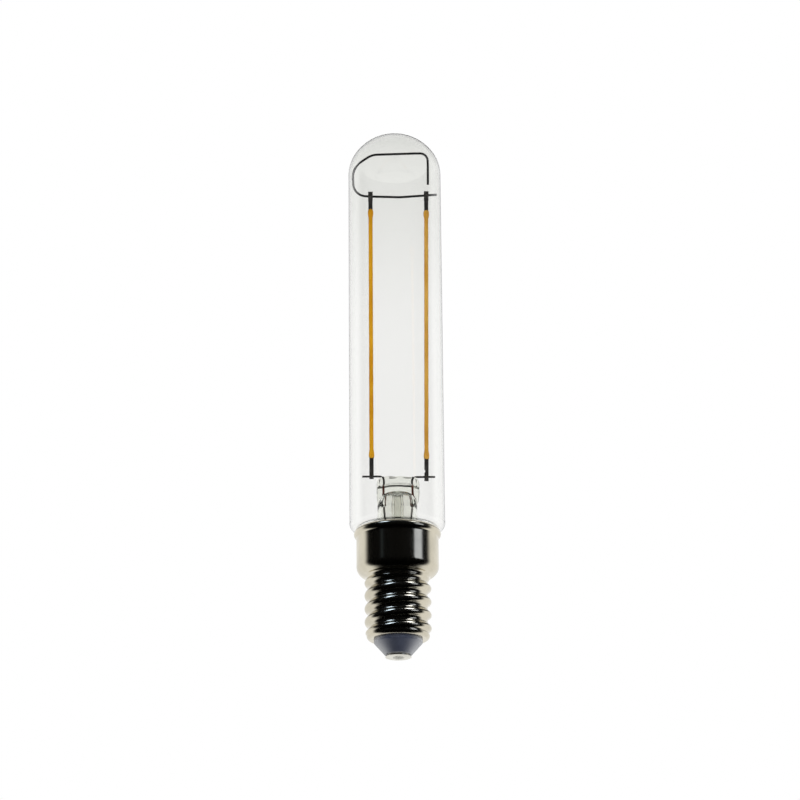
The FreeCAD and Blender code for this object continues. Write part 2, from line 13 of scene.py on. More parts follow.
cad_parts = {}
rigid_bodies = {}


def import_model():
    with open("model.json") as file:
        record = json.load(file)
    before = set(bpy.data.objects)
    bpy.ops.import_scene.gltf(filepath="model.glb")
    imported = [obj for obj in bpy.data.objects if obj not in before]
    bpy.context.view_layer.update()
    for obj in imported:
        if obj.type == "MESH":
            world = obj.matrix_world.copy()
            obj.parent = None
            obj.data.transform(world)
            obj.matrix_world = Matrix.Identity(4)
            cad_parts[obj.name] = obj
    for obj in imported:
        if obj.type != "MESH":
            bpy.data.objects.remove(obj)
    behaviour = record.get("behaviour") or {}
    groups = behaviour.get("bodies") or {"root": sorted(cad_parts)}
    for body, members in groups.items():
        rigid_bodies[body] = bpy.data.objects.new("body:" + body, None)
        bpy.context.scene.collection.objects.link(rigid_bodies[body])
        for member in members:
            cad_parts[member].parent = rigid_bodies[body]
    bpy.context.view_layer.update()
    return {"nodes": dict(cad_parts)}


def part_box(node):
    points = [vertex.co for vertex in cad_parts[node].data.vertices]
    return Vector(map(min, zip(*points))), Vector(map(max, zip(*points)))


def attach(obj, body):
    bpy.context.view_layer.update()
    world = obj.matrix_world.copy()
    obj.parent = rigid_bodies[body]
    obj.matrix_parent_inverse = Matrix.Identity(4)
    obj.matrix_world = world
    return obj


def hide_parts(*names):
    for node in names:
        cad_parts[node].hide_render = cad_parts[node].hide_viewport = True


bl_info = {
    "name": "Tubular Lamp",
    "version": (1, 0, 0),
    "blender": (4, 5, 0),
    "location": "3D View > Sidebar > Lamp",
    "description": "Builds the glass, wires, filaments, screw shell and stage of a tubular lamp",
    "category": "Object",
}

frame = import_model()

MM = 0.001
BODY = "root"
SIDES = ("left", "right")

glass_low, glass_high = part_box("glass_envelope")
shell_low, shell_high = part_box("screw_shell")
insulator_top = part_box("cap_insulator")[1].z


# Settings

def length(name, description, millimetres):
    """A length, written in millimetres and kept in metres."""
    return FloatProperty(
        name=name, description=description, default=millimetres * MM,
        unit="LENGTH", min=-1.0, max=1.0, precision=5,
    )


def turn(name, description, degrees):
    """An angle, written in degrees."""
    return FloatProperty(
        name=name, description=description, default=math.radians(degrees), subtype="ANGLE",
    )


def colour(name, description, red, green, blue):
    """A colour that the user can change."""
    return FloatVectorProperty(
        name=name, description=description, default=(red, green, blue),
        subtype="COLOR", size=3, min=0.0, max=1.0,
    )


def factor(name, description, value):
    """A share from 0 to 1."""
    return FloatProperty(
        name=name, description=description, default=value, subtype="FACTOR", min=0.0, max=1.0,
    )


class LampGlass(bpy.types.PropertyGroup):
    """Sizes of the blown tube."""
    wall: length("Wall", "Thickness of the blown glass", 0.45)
    dome_height: length("Dome Height", "Height of the dome above the tube", 9.1)
    dome_corner: length("Dome Corner", "Radius where the tube turns into the crown", 8.2)
    shoulder: length("Shoulder", "Radius where the tube is shrunk to its neck", 1.5)
    shoulder_height: length("Shoulder Height", "Lowest point of the shoulder", 27.6)
    neck_diameter: length("Neck Diameter", "Neck that stands in the collar", 15.4)
    neck_fillet: length("Neck Fillet", "Radius between shoulder and neck", 0.5)
    unevenness: length("Unevenness", "Depth of the slow waves in the blown wall", 0.004)
    steps: IntProperty(name="Steps", description="Faces around the tube", default=288)


class LampStem(bpy.types.PropertyGroup):
    """Sizes of the stem, its press and its exhaust tube."""
    diameter: length("Diameter", "Flare tube of the stem", 8.3)
    wall: length("Wall", "Thickness of the flare tube", 0.8)
    flare_length: length("Flare Length", "Height of the bell that meets the neck", 6.0)
    lean: length("Lean", "The press stands this far to the right", 0.2)
    press_width: length("Press Width", "Width of the pinched part", 8.95)
    press_depth: length("Press Depth", "Thickness of the pinched part", 3.8)
    press_top: length("Press Top", "Height of the press's upper edge", 39.3)
    press_flat: length("Press Flat", "Height of the flat part", 3.9)
    press_pinch: length("Press Pinch", "Height over which round turns to flat", 3.6)
    corner_width: length("Corner Width", "Rounding of the upper corners, across", 1.5)
    corner_height: length("Corner Height", "Rounding of the upper corners, in height", 1.95)
    jaw_step: length("Jaw Step", "Step that the pinching jaws left in the faces", 0.75)
    jaw_height: length("Jaw Height", "Height of the jaw step at the edges", 37.0)
    jaw_arch: length("Jaw Arch", "Rise of the step towards the middle", 0.45)
    jaw_slope: length("Jaw Slope", "Height over which the step rises", 0.48)
    jaw_width: length("Jaw Width", "Half of the step's width", 3.4)
    roof_gap: length("Roof Gap", "Solid glass above the hollow", 3.3)
    burr_across: length("Burr Across", "Place of the burr on the upper edge", -1.95)
    burr_height: length("Burr Height", "Height of the burr", 0.22)
    exhaust_diameter: length("Exhaust Diameter", "Thin tube inside the stem", 2.5)
    exhaust_bore: length("Exhaust Bore", "Bore of the thin tube", 1.3)
    exhaust_tip: length("Exhaust Tip", "Height of the tube's melted end", 20.4)


class LampWires(bpy.types.PropertyGroup):
    """Sizes of the bent wires."""
    support_diameter: length("Support Diameter", "Wire over the filaments", 0.5)
    bridge_height: length("Bridge Height", "Height of the wire across the filaments' heads", 103.1)
    support_lean: turn("Support Lean", "The loop leans to the front by this angle", 12.0)
    lead_diameter: length("Lead Diameter", "Wires in the stem", 0.42)
    lead_spacing: length("Lead Spacing", "Between the two wires in the press", 5.8)
    lead_bend: length("Lead Bend", "Bend from the arm into the press", 1.0)
    arm_left: length("Left Arm Height", "Height of the left arm", 39.4)
    arm_right: length("Right Arm Height", "Height of the right arm", 39.2)
    arm_end_left: length("Left Arm End", "Free end of the left arm", -7.3)
    arm_end_right: length("Right Arm End", "Free end of the right arm", 8.05)
    seal_top: length("Seal Top", "Upper end of the red seal wire", 37.3)
    seal_bottom: length("Seal Bottom", "Lower end of the red seal wire", 33.6)
    wobble: length("Wobble", "How far the hand-bent wire strays", 0.05)


class LampFilaments(bpy.types.PropertyGroup):
    """Sizes and colours of the two filaments."""
    coat_length: length("Coat Length", "Length of the phosphor coat", 57.0)
    coat_width: length("Coat Width", "Width of the phosphor coat", 0.95)
    coat_depth: length("Coat Depth", "Depth of the phosphor coat", 0.85)
    bead_width: length("Bead Width", "Swelling at the coat's ends", 1.2)
    bead_length: length("Bead Length", "Length of the swelling", 2.0)
    chip_length: length("Chip Length", "Length of one chip", 0.75)
    chip_width: length("Chip Width", "Width of one chip", 0.26)
    chip_thickness: length("Chip Thickness", "Thickness of one chip", 0.1)
    chip_count: IntProperty(name="Chips", description="Chips on a strip", default=28)
    middle_left: length("Left Middle", "Height of the left filament's middle", 71.7)
    middle_right: length("Right Middle", "Height of the right filament's middle", 71.35)
    foot_left: length("Left Foot", "Across the lamp at the lower wire", -5.33)
    foot_right: length("Right Foot", "Across the lamp at the lower wire", 6.2)
    head_left: length("Left Head", "Across the lamp at the support wire", -5.25)
    head_right: length("Right Head", "Across the lamp at the support wire", 6.85)
    tab_width: length("Tab Width", "Width of the metal tabs", 0.9)
    tab_thickness: length("Tab Thickness", "Thickness of the metal tabs", 0.2)
    crimp_width: length("Crimp Width", "Pressed head of the upper tabs", 1.0)
    tab_tail_left: length("Left Tab Tail", "Lower tab below its wire", 0.65)
    tab_tail_right: length("Right Tab Tail", "Lower tab below its wire", 1.0)
    amber_left: colour("Left Amber", "Coat of the left filament", 0.82, 0.41, 0.018)
    amber_right: colour("Right Amber", "Coat of the right filament", 0.82, 0.46, 0.095)


class LampShell(bpy.types.PropertyGroup):
    """Sizes of the rolled screw shell."""
    sheet: length("Sheet", "Thickness of the rolled sheet", 0.3)
    collar_diameter: length("Collar Diameter", "Straight collar", 17.16)
    rim_diameter: length("Rim Diameter", "Widest line of the rim", 18.16)
    rim_depth: length("Rim Depth", "Widest line of the rim below its edge", 0.8)
    rim_curve: length("Rim Curve", "Radius of the rim's bead", 0.95)
    rim_fillet: length("Rim Fillet", "Radius between rim and collar", 0.4)
    collar_length: length("Collar Length", "Rim edge to the start of the shoulder", 7.8)
    shoulder: length("Shoulder", "Radius of the shoulder under the collar", 2.15)
    neck_blend: length("Neck Blend", "Radius from the shoulder to the thread", 0.7)
    end_curl: length("End Curl", "Bend radius of the turned-in end", 0.8)
    lip_bore: length("Lip Bore", "Opening of the turned-in end", 10.1)
    pitch: length("Pitch", "Height of one turn of the thread", 2.822)
    major: length("Major Diameter", "Over the crests", 13.89)
    minor: length("Minor Diameter", "In the roots", 12.29)
    crest_height: length("Crest Height", "Height of a crest at the left side", 16.3)
    thread_top: length("Thread Top", "Where the thread has run out above", 17.0)
    thread_bottom: length("Thread Bottom", "Where the thread has run out below", 4.9)
    run_out: length("Run-out", "Height over which the thread fades", 0.8)
    steps: IntProperty(name="Steps", description="Faces around the shell", default=180)
    nickel: colour("Nickel", "Colour of the plating", 0.65, 0.605, 0.49)


class LampCapEnd(bpy.types.PropertyGroup):
    """Sizes and colours of the insulator and the contact."""
    band: length("Band", "Straight part of the insulator below the shell", 0.65)
    tip_diameter: length("Tip Diameter", "Small end of the insulator", 5.64)
    tip_height: length("Tip Height", "Height of the insulator's small end", 0.9)
    wall: length("Wall", "Wall of the insulator's hollow part", 1.5)
    floor: length("Floor", "Thickness over the shell's end", 1.0)
    edge: length("Edge", "Chamfer of the insulator's seat", 0.35)
    clearance: length("Clearance", "Between insulator and shell", 0.04)
    wire_hole: length("Wire Hole", "Hole for the live wire", 1.6)
    contact_diameter: length("Contact Diameter", "Metal plate under the insulator", 5.46)
    contact_sheet: length("Contact Sheet", "Thickness of the plate", 0.3)
    contact_hole: length("Contact Hole", "Hole in the plate", 1.1)
    solder_diameter: length("Solder Diameter", "Solder on the plate's hole", 2.6)
    solder_height: length("Solder Height", "How far the solder stands out", 0.34)
    dark_glass: colour("Dark Glass", "Moulded glass of the insulator", 0.030, 0.036, 0.058)
    tin: colour("Tin", "Plated contact", 0.74, 0.72, 0.64)


class LampStage(bpy.types.PropertyGroup):
    """Camera and light."""
    lens: FloatProperty(
        name="Lens", description="Focal length in millimetres", default=132.5, unit="CAMERA",
    )
    distance: length("Distance", "Camera to the lamp's axis", 624.0)
    elevation: turn("Elevation", "Camera's height angle, negative from below", -19.0)
    roll: turn("Roll", "Turn of the picture", -0.5)
    aim_across: length("Aim Across", "Point that the camera looks at, across", 0.78)
    aim_height: length("Aim Height", "Point that the camera looks at, in height", 56.4)
    floor_height: length("Floor Height", "Floor below the lamp", -380.0)
    fill: factor("Fill", "Light of the room on dull surfaces", 0.30)
    glass_back: factor("Glass Back", "Brightness of the room's back as the glass mirrors it", 0.5)
    room: factor("Room", "Brightness of the dark side of the room in the metal", 0.0005)
    depth: factor("Depth", "Brightness of the dark side of the room in the glass", 0.03)


GROUPS = {
    "lamp_glass": LampGlass,
    "lamp_stem": LampStem,
    "lamp_wires": LampWires,
    "lamp_filaments": LampFilaments,
    "lamp_shell": LampShell,
    "lamp_cap_end": LampCapEnd,
    "lamp_stage": LampStage,
}


# Node trees

def feed(tree, socket, value):
    """Links a flowing value to a socket, or sets the socket to a constant."""
    if isinstance(value, Flow):
        tree.links.new(value.socket, socket)
    elif isinstance(value, bpy.types.NodeSocket):
        tree.links.new(value, socket)
    else:
        socket.default_value = value


def add(tree, kind, inputs=None, **settings):
    """A new node with its settings, and its inputs by name or number."""
    node = tree.nodes.new(kind)
    for name, value in settings.items():
        setattr(node, name, value)
    for key, value in (inputs or {}).items():
        feed(tree, node.inputs[key], value)
    return node


class Flow:
    """A number that flows through a node tree, so that a formula reads as arithmetic."""

    def __init__(self, tree, socket):
        self.tree = tree
        self.socket = socket

    def math(self, operation, *others):
        """What a Math node makes of this number and the others."""
        inputs = dict(enumerate((self, *others)))
        node = add(self.tree, "ShaderNodeMath", inputs, operation=operation)
        return Flow(self.tree, node.outputs[0])

    def __add__(self, other):
        return self.math("ADD", other)

    def __sub__(self, other):
        return self.math("SUBTRACT", other)

    def __mul__(self, other):
        return self.math("MULTIPLY", other)

    def __truediv__(self, other):
        return self.math("DIVIDE", other)

    def squared(self):
        """The number times itself."""
        return self * self

    def root(self):
        """The square root, or 0 below 0."""
        return self.math("MAXIMUM", 0.0).math("SQRT")

    def eased(self, start, end):
        """0 at start, 1 at end, with a smooth way between them."""
        inputs = {"Value": self, "From Min": start, "From Max": end}
        node = add(self.tree, "ShaderNodeMapRange", inputs, interpolation_type="SMOOTHSTEP")
        return Flow(self.tree, node.outputs["Result"])


def new_tree(name, kind, inputs, outputs):
    """A node group with named sockets, and its input and output nodes."""
    tree = bpy.data.node_groups.new(name, kind)
    for in_out, sockets in (("INPUT", inputs), ("OUTPUT", outputs)):
        for socket_name, socket_type, default in sockets:
            socket = tree.interface.new_socket(socket_name, in_out=in_out, socket_type=socket_type)
            if default is not None:
                socket.default_value = default
    return tree, add(tree, "NodeGroupInput"), add(tree, "NodeGroupOutput")


def shape_tree(name, sizes):
    """A geometry tree that takes a base, named sizes and a material, and puts out one shape."""
    base = ("Geometry", "NodeSocketGeometry", None)
    inputs = [base, *sizes, ("Material", "NodeSocketMaterial", None)]
    return new_tree(name, "GeometryNodeTree", inputs, [base])


def end_tree(tree, given, result, shape):
    """Ends a geometry tree with real faces that carry the given material."""
    real = add(tree, "GeometryNodeRealizeInstances", {"Geometry": shape.outputs[0]})
    coated = add(tree, "GeometryNodeSetMaterial", {
        "Geometry": real.outputs[0], "Material": given.outputs["Material"],
    })
    feed(tree, result.inputs["Geometry"], coated.outputs[0])
    return tree


def made_by(tree, mesh, sizes):
    """The plain mesh that a geometry tree makes from a base mesh."""
    obj = bpy.data.objects.new("base", mesh)
    bpy.context.scene.collection.objects.link(obj)
    modifier = obj.modifiers.new("Tree", "NODES")
    modifier.node_group = tree
    for item in tree.interface.items_tree:
        if item.item_type == "SOCKET" and item.in_out == "INPUT" and item.name in sizes:
            modifier[item.identifier] = sizes[item.name]
    depsgraph = bpy.context.evaluated_depsgraph_get()
    result = bpy.data.meshes.new_from_object(obj.evaluated_get(depsgraph), depsgraph=depsgraph)
    obj.modifiers.remove(modifier)
    bpy.data.objects.remove(obj)
    return result


# Meshes

def tidied(mesh, sharp=40.0):
    """Merges doubles, turns the faces outwards and shades smoothly up to an angle in degrees."""
    work = bmesh.new()
    work.from_mesh(mesh)
    bmesh.ops.remove_doubles(work, verts=work.verts, dist=1e-7)
    bmesh.ops.recalc_face_normals(work, faces=work.faces)
    work.to_mesh(mesh)
    work.free()
    mesh.polygons.foreach_set("use_smooth", [True] * len(mesh.polygons))
    mesh.set_sharp_from_angle(angle=math.radians(sharp))
    mesh.update()
    return mesh


def new_mesh(name, vertices, faces, sharp=40.0):
    """A tidied mesh from points and faces."""
    mesh = bpy.data.meshes.new(name)
    mesh.from_pydata(vertices, [], faces)
    return tidied(mesh, sharp)


def place(name, mesh, slot, material, *nodes):
    """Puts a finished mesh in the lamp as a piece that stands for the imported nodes."""
    mesh.name = name
    mesh.materials.clear()
    mesh.materials.append(material)
    obj = bpy.data.objects.new(name, mesh)
    bpy.context.scene.collection.objects.link(obj)
    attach(obj, BODY)
    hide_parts(*nodes)
    return obj


def dress(node, material):
    """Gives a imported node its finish."""
    obj = frame["nodes"][node]
    if not obj.material_slots:
        obj.data.materials.append(material)
    for slot in obj.material_slots:
        slot.material = material


def arc(across, height, radius, start, end, steps=16):
    """Points of an arc, between two angles in degrees from outwards to up."""
    points = []
    for k in range(steps + 1):
        angle = math.radians(start + (end - start) * k / steps)
        points.append((across + radius * math.cos(angle), height + radius * math.sin(angle)))
    return points


def straight(start, end, steps):
    """Points from start to end, both included."""
    return [
        (start[0] + (end[0] - start[0]) * k / steps, start[1] + (end[1] - start[1]) * k / steps)
        for k in range(steps + 1)
    ]


def turned(name, outline, steps, reshape=None, sharp=40.0):
    """A closed body turned from a closed outline of (across, height) points. A point on the axis
    is a pole."""
    vertices = []
    rings = []
    for k, (across, height) in enumerate(outline):
        if across < 1e-9:
            rings.append([len(vertices)])
            vertices.append(Vector((0, 0, height)))
            continue
        rings.append(range(len(vertices), len(vertices) + steps))
        for j in range(steps):
            angle = 2 * math.pi * j / steps
            point = Vector((across * math.cos(angle), across * math.sin(angle), height))
            vertices.append(reshape(point, k) if reshape else point)
    return new_mesh(name, vertices, joined(rings, True), sharp)


def joined(rings, closed):
    """Faces between neighbouring rings of vertices. A ring of one vertex is a pole."""
    faces = []
    pairs = list(zip(rings, rings[1:]))
    if closed:
        pairs.append((rings[-1], rings[0]))
    for lower, upper in pairs:
        count = max(len(lower), len(upper))
        if count == 1:
            continue
        for j in range(count):
            face = [lower[j % len(lower)], lower[(j + 1) % len(lower)]]
            face += [upper[(j + 1) % len(upper)], upper[j % len(upper)]]
            faces.append(list(dict.fromkeys(face)))
    return faces


def lofted(name, sections, sharp=40.0):
    """A closed body through sections of equal point counts, with flat ends."""
    vertices = [point for section in sections for point in section]
    rings = []
    first = 0
    for section in sections:
        rings.append(range(first, first + len(section)))
        first += len(section)
    faces = joined(rings, False)
    faces.append(list(reversed(rings[0])))
    faces.append(list(rings[-1]))
    return new_mesh(name, vertices, faces, sharp)


def clamped(share):
    """A share kept between 0 and 1."""
    return min(max(share, 0), 1)


def smooth(share):
    """A clamped share with a smooth way from 0 to 1."""
    share = clamped(share)
    return share * share * (3 - 2 * share)


def fallen(share):
    """How far a rounded edge has fallen in, from 0 where it starts to 1 where it ends."""
    return 1 - math.sqrt(max(1 - max(share, 0) ** 2, 0))


def uneven(amount, x, y, z):
    """A stray to both sides of nothing, the same in each run."""
    return amount * noise.noise(Vector((x, y, z)))


def superellipse(half_width, half_depth, power, height, shift=0.0, count=96):
    """A closed section, from round (power 2) to nearly a rectangle (power 4)."""
    points = []
    for j in range(count):
        angle = 2 * math.pi * j / count
        c = math.cos(angle)
        s = math.sin(angle)
        x = half_width * math.copysign(abs(c) ** (2 / power), c) + shift
        y = half_depth * math.copysign(abs(s) ** (2 / power), s)
        points.append(Vector((x, y, height)))
    return points


# Finishes

def speckle(tree, where, scale, detail, roughness=0.5):
    """Noise over the surface, from 0 to 1."""
    node = add(tree, "ShaderNodeTexNoise", {
        "Vector": where, "Scale": scale, "Detail": detail, "Roughness": roughness,
    })
    return Flow(tree, node.outputs["Fac"])


def scuffs():
    """Shader group: fine scratches and slow stains, as two masks over the surface."""
    name = "Scuffs"
    if name in bpy.data.node_groups:
        return bpy.data.node_groups[name]
    inputs = [
        ("Scale", "NodeSocketFloat", 900.0),
        ("Stretch", "NodeSocketFloat", 6.0),
        ("Slant", "NodeSocketFloat", 0.5),
    ]
    outputs = [("Scratches", "NodeSocketFloat", None), ("Stains", "NodeSocketFloat", None)]
    tree, given, result = new_tree(name, "ShaderNodeTree", inputs, outputs)
    where = add(tree, "ShaderNodeTexCoord").outputs["Object"]
    squeeze = Flow(tree, given.outputs["Stretch"]).math("POWER", -1.0)
    stretch = add(tree, "ShaderNodeCombineXYZ", {"X": 1.0, "Y": 1.0, "Z": squeeze})
    slant = add(tree, "ShaderNodeCombineXYZ", {"X": given.outputs["Slant"]})
    drawn_out = add(tree, "ShaderNodeMapping", {
        "Vector": where, "Rotation": slant.outputs[0], "Scale": stretch.outputs[0],
    })
    stain_scale = Flow(tree, given.outputs["Scale"]) * 0.25
    scratches = speckle(tree, drawn_out.outputs[0], given.outputs["Scale"], 3.0, 0.6)
    feed(tree, result.inputs["Scratches"], scratches)
    feed(tree, result.inputs["Stains"], speckle(tree, where, stain_scale, 4.0))
    return tree


def base_material(name, **values):
    """A material with a Principled shader, its constants set on the shader's own sockets."""
    material = bpy.data.materials.new(name)
    material.use_nodes = True
    tree = material.node_tree
    shader = tree.nodes["Principled BSDF"]
    for key, value in values.items():
        socket = key.replace("_", " ").title().replace("Ior", "IOR")
        shader.inputs[socket].default_value = value
    return material, tree, shader


def blend_colours(tree, mask, first, second):
    """A colour between two, by a mask. Each is a plain colour or the output of a node."""
    mix = add(tree, "ShaderNodeMix", {0: mask}, data_type="RGBA")
    for name, value in (("A", first), ("B", second)):
        flows = isinstance(value, bpy.types.NodeSocket)
        feed(tree, mix.inputs[name], value if flows else (*value, 1.0))
    return mix.outputs["Result"]


def shaded(tint, share):
    """A colour made darker or lighter."""
    return tuple(min(channel * share, 1.0) for channel in tint)


def emboss(tree, shader, height, strength, distance=0.1 * MM):
    """Fine relief from a height that changes over the surface."""
    relief = add(tree, "ShaderNodeBump", {
        "Strength": strength, "Distance": distance, "Height": height,
    })
    feed(tree, shader.inputs["Normal"], relief.outputs[0])


def worn(tree, shader, scale, stretch, bump):
    """Scuffs the surface, with the scratches as relief, and gives scratches and stains."""
    sizes = {"Scale": scale, "Stretch": stretch}
    group = add(tree, "ShaderNodeGroup", sizes, node_tree=scuffs())
    scratches = Flow(tree, group.outputs["Scratches"])
    emboss(tree, shader, scratches, bump)
    return scratches, Flow(tree, group.outputs["Stains"])


def metal(name, tint, roughness, spread=0.12, scale=900.0, bump=0.04, stained=0.85, metallic=1.0):
    """Metal with fine scratches, slow stains and an uneven polish."""
    material, tree, shader = base_material(name, metallic=metallic)
    scratches, stains = worn(tree, shader, scale, 6.0, bump)
    body = blend_colours(tree, stains.eased(0.35, 0.7), tint, shaded(tint, stained))
    polish = (scratches * 0.6 + stains * 0.4 - 0.5) * spread * 2.0 + roughness
    feed(tree, shader.inputs["Base Color"], body)
    feed(tree, shader.inputs["Roughness"], polish)
    return material


def wire_metal(name, tint, roughness, metallic):
    """Drawn wire, stained by the heat that sealed it."""
    return metal(name, tint, roughness, scale=2600.0, stained=0.5, metallic=metallic)


def dull(name, tint, roughness, scale=1500.0, bump=0.1):
    """Moulded, sintered or painted stuff with a fine grain."""
    material, tree, shader = base_material(name)
    grain, stains = worn(tree, shader, scale, 1.0, bump)
    body = blend_colours(tree, stains.eased(0.3, 0.7), tint, shaded(tint, 0.8))
    feed(tree, shader.inputs["Base Color"], body)
    feed(tree, shader.inputs["Roughness"], (grain - 0.5) * 0.2 + roughness)
    return material


def glass(name, tint, density, low_colour, high_colour):
    """Clear glass that takes light along its thickness and lets the lamps' light through. Its colour
    turns from one to the other up the lamp."""
    material, tree, shader = base_material(name, transmission_weight=1.0, ior=1.5, roughness=0.0)
    change_start = 70.0 * MM
    change_end = 115.0 * MM
    where = add(tree, "ShaderNodeTexCoord")
    parts = add(tree, "ShaderNodeSeparateXYZ", {0: where.outputs["Object"]})
    # The colour changes from the low one to the high one between these heights, so on the tube it turns
    # greyer towards the top.
    rise = Flow(tree, parts.outputs["Z"]).eased(change_start, change_end)
    feed(tree, shader.inputs["Base Color"], blend_colours(tree, rise, low_colour, high_colour))
    path = add(tree, "ShaderNodeLightPath")
    shadow = add(tree, "ShaderNodeBsdfTransparent", {"Color": (0.94, 0.95, 0.94, 1.0)})
    mix = add(tree, "ShaderNodeMixShader", {
        0: path.outputs["Is Shadow Ray"], 1: shader.outputs[0], 2: shadow.outputs[0],
    })
    absorb = add(tree, "ShaderNodeVolumeAbsorption", {"Color": (*tint, 1.0), "Density": density})
    output = tree.nodes["Material Output"]
    feed(tree, output.inputs["Surface"], mix.outputs[0])
    feed(tree, output.inputs["Volume"], absorb.outputs[0])
    return material


def phosphor(name, amber):
    """Silicone full of yellow phosphor, paler and deeper along its length."""
    material, tree, shader = base_material(
        name, subsurface_weight=0.25, subsurface_scale=0.6 * MM, subsurface_radius=(1.0, 0.55, 0.1),
        roughness=0.5, specular_ior_level=0.12,
    )
    deep = [channel * share for channel, share in zip(amber, (0.86, 0.78, 0.6))]
    pale = [min(1.0, channel * 1.25 + 0.03) for channel in amber]
    where = add(tree, "ShaderNodeTexCoord").outputs["Object"]
    drawn_out = add(tree, "ShaderNodeMapping", {"Vector": where, "Scale": (0.6, 0.6, 0.28)})
    slow = speckle(tree, drawn_out.outputs[0], 420.0, 3.0)
    fine = speckle(tree, where, 5200.0, 2.0)
    body = blend_colours(tree, slow.eased(0.36, 0.64), amber, deep)
    specks = fine.eased(0.5, 0.75) * 0.35
    feed(tree, shader.inputs["Base Color"], blend_colours(tree, specks, body, pale))
    emboss(tree, shader, fine, 0.25, 0.08 * MM)
    return material


def dark_moulded_glass(tint):
    """Almost black pressed glass with a satin skin, and a painted reflection that pales it where it is
    seen at a slant.
    """
    material, tree, shader = base_material("dark_glass", ior=1.52)
    stains = worn(tree, shader, 1100.0, 1.0, 0.02)[1]
    body = blend_colours(tree, stains.eased(0.35, 0.65), tint, shaded(tint, 1.3))
    # Painted reflection: the colour turns pale grey where the surface is seen at a slant, as if it
    # mirrored the bright room.
    slant = Flow(tree, add(tree, "ShaderNodeLayerWeight", {"Blend": 0.5}).outputs["Facing"])
    painted_sheen = slant.eased(0.07, 0.72) * 0.75
    feed(tree, shader.inputs["Base Color"], blend_colours(tree, painted_sheen, body, (0.68, 0.69, 0.71)))
    feed(tree, shader.inputs["Roughness"], stains * 0.16 + 0.34)
    return material


# Pieces

class LAMP_OT_glass_envelope(bpy.types.Operator):
    """Blow the clear tube with its dome, shoulder and neck"""
    bl_idname = "lamp.glass_envelope"
    bl_label = "Glass Envelope"

    def execute(self, context):
        sizes = context.scene.lamp_glass
        radius = min(glass_high.x, glass_high.y)
        base = glass_high.z - sizes.dome_height
        corner_across = radius - sizes.dome_corner
        spare = sizes.dome_height - sizes.dome_corner
        drop = (corner_across ** 2 - spare ** 2) / (2 * spare)
        crown = sizes.dome_height + drop
        crown_turn = math.degrees(math.atan2(drop, corner_across))
        neck = sizes.neck_diameter / 2
        turn_across = radius - sizes.shoulder
        turn_height = sizes.shoulder_height + sizes.shoulder
        root_across = neck + sizes.neck_fillet
        root_height = sizes.shoulder_height - sizes.neck_fillet

        def skin(inset):
            points = arc(0, base - drop, crown - inset, 90, crown_turn, 10)
            points += arc(corner_across, base, sizes.dome_corner - inset, crown_turn, 0, 28)[1:]
            points += straight((radius - inset, base), (radius - inset, turn_height), 24)[1:]
            points += arc(turn_across, turn_height, sizes.shoulder - inset, 0, -90, 12)[1:]
            points += arc(root_across, root_height, sizes.neck_fillet + inset, 90, 180, 6)
            points += straight((neck - inset, root_height), (neck - inset, glass_low.z), 4)[1:]
            return points

        outer = skin(0.0)
        outline = outer + list(reversed(skin(sizes.wall)))

        across_scale = 60
        along_scale = 22
        inner_seed = Vector((3.1, 7.7, 1.3))

        def blown(point, k):
            """Slow waves in the wall, always towards the axis, so that the tube keeps its box."""
            across = point.xy.length
            spot = Vector((point.x * across_scale, point.y * across_scale, point.z * along_scale))
            if k >= len(outer):
                spot += inner_seed
            wave = (noise.noise(spot) + 1) / 2
            share = 1 - sizes.unevenness * wave / max(across, 1e-6)
            return Vector((point.x * share, point.y * share, point.z))

        mesh = turned("glass_envelope", outline, sizes.steps, blown, 60)
        material = glass(
            "clear_glass", (0.86, 0.92, 0.88), 14.0, (1.0, 1.0, 0.99), (0.925, 0.928, 0.91)
        )
        place("glass_envelope", mesh, "clear_glass", material, "glass_envelope")
        return {"FINISHED"}


def round_end(sizes):
    """Height at which the round stem starts to turn flat."""
    return sizes.press_top - sizes.press_flat - sizes.press_pinch


def stem_section(sizes, height):
    """Outer section of the stem, with the jaw step and the rounded upper edge."""
    press_edge = 0.6 * MM
    jaw_wave = 0.06 * MM
    edge_drop = 0.1 * MM
    edge_wave = 0.09 * MM
    burr_width = 0.28 * MM
    flat = smooth((height - round_end(sizes)) / sizes.press_pinch)
    corner = (height - (sizes.press_top - sizes.corner_height)) / sizes.corner_height
    over = (height - (sizes.press_top - press_edge)) / press_edge
    radius = sizes.diameter / 2
    half_width = radius + (sizes.press_width / 2 - radius) * flat
    half_width -= sizes.corner_width * fallen(corner)
    half_depth = radius + (sizes.press_depth / 2 - radius) * flat
    half_depth -= press_edge * fallen(over)
    section = superellipse(half_width, half_depth, 2 + 1.2 * flat, height, sizes.lean * flat)
    for point in section:
        millimetres = point.x / MM
        off = min(abs(point.x - sizes.lean) / sizes.jaw_width, 1.4)
        line = sizes.jaw_height + sizes.jaw_arch * (1 - off * off)
        line += jaw_wave * math.sin(millimetres * 3.1)
        inside_jaws = clamped((1.25 - off) * 4)
        step = clamped((height - line) / sizes.jaw_slope + 0.5) * inside_jaws
        point.y *= 1 - sizes.jaw_step / half_depth * smooth(step)
        if over > 0:
            burr = math.exp(-((point.x - sizes.burr_across) / burr_width) ** 2) * sizes.burr_height
            wave = edge_wave * math.sin(millimetres * 1.7 + 0.6)
            point.z += over * (burr - edge_drop + wave)
    return section


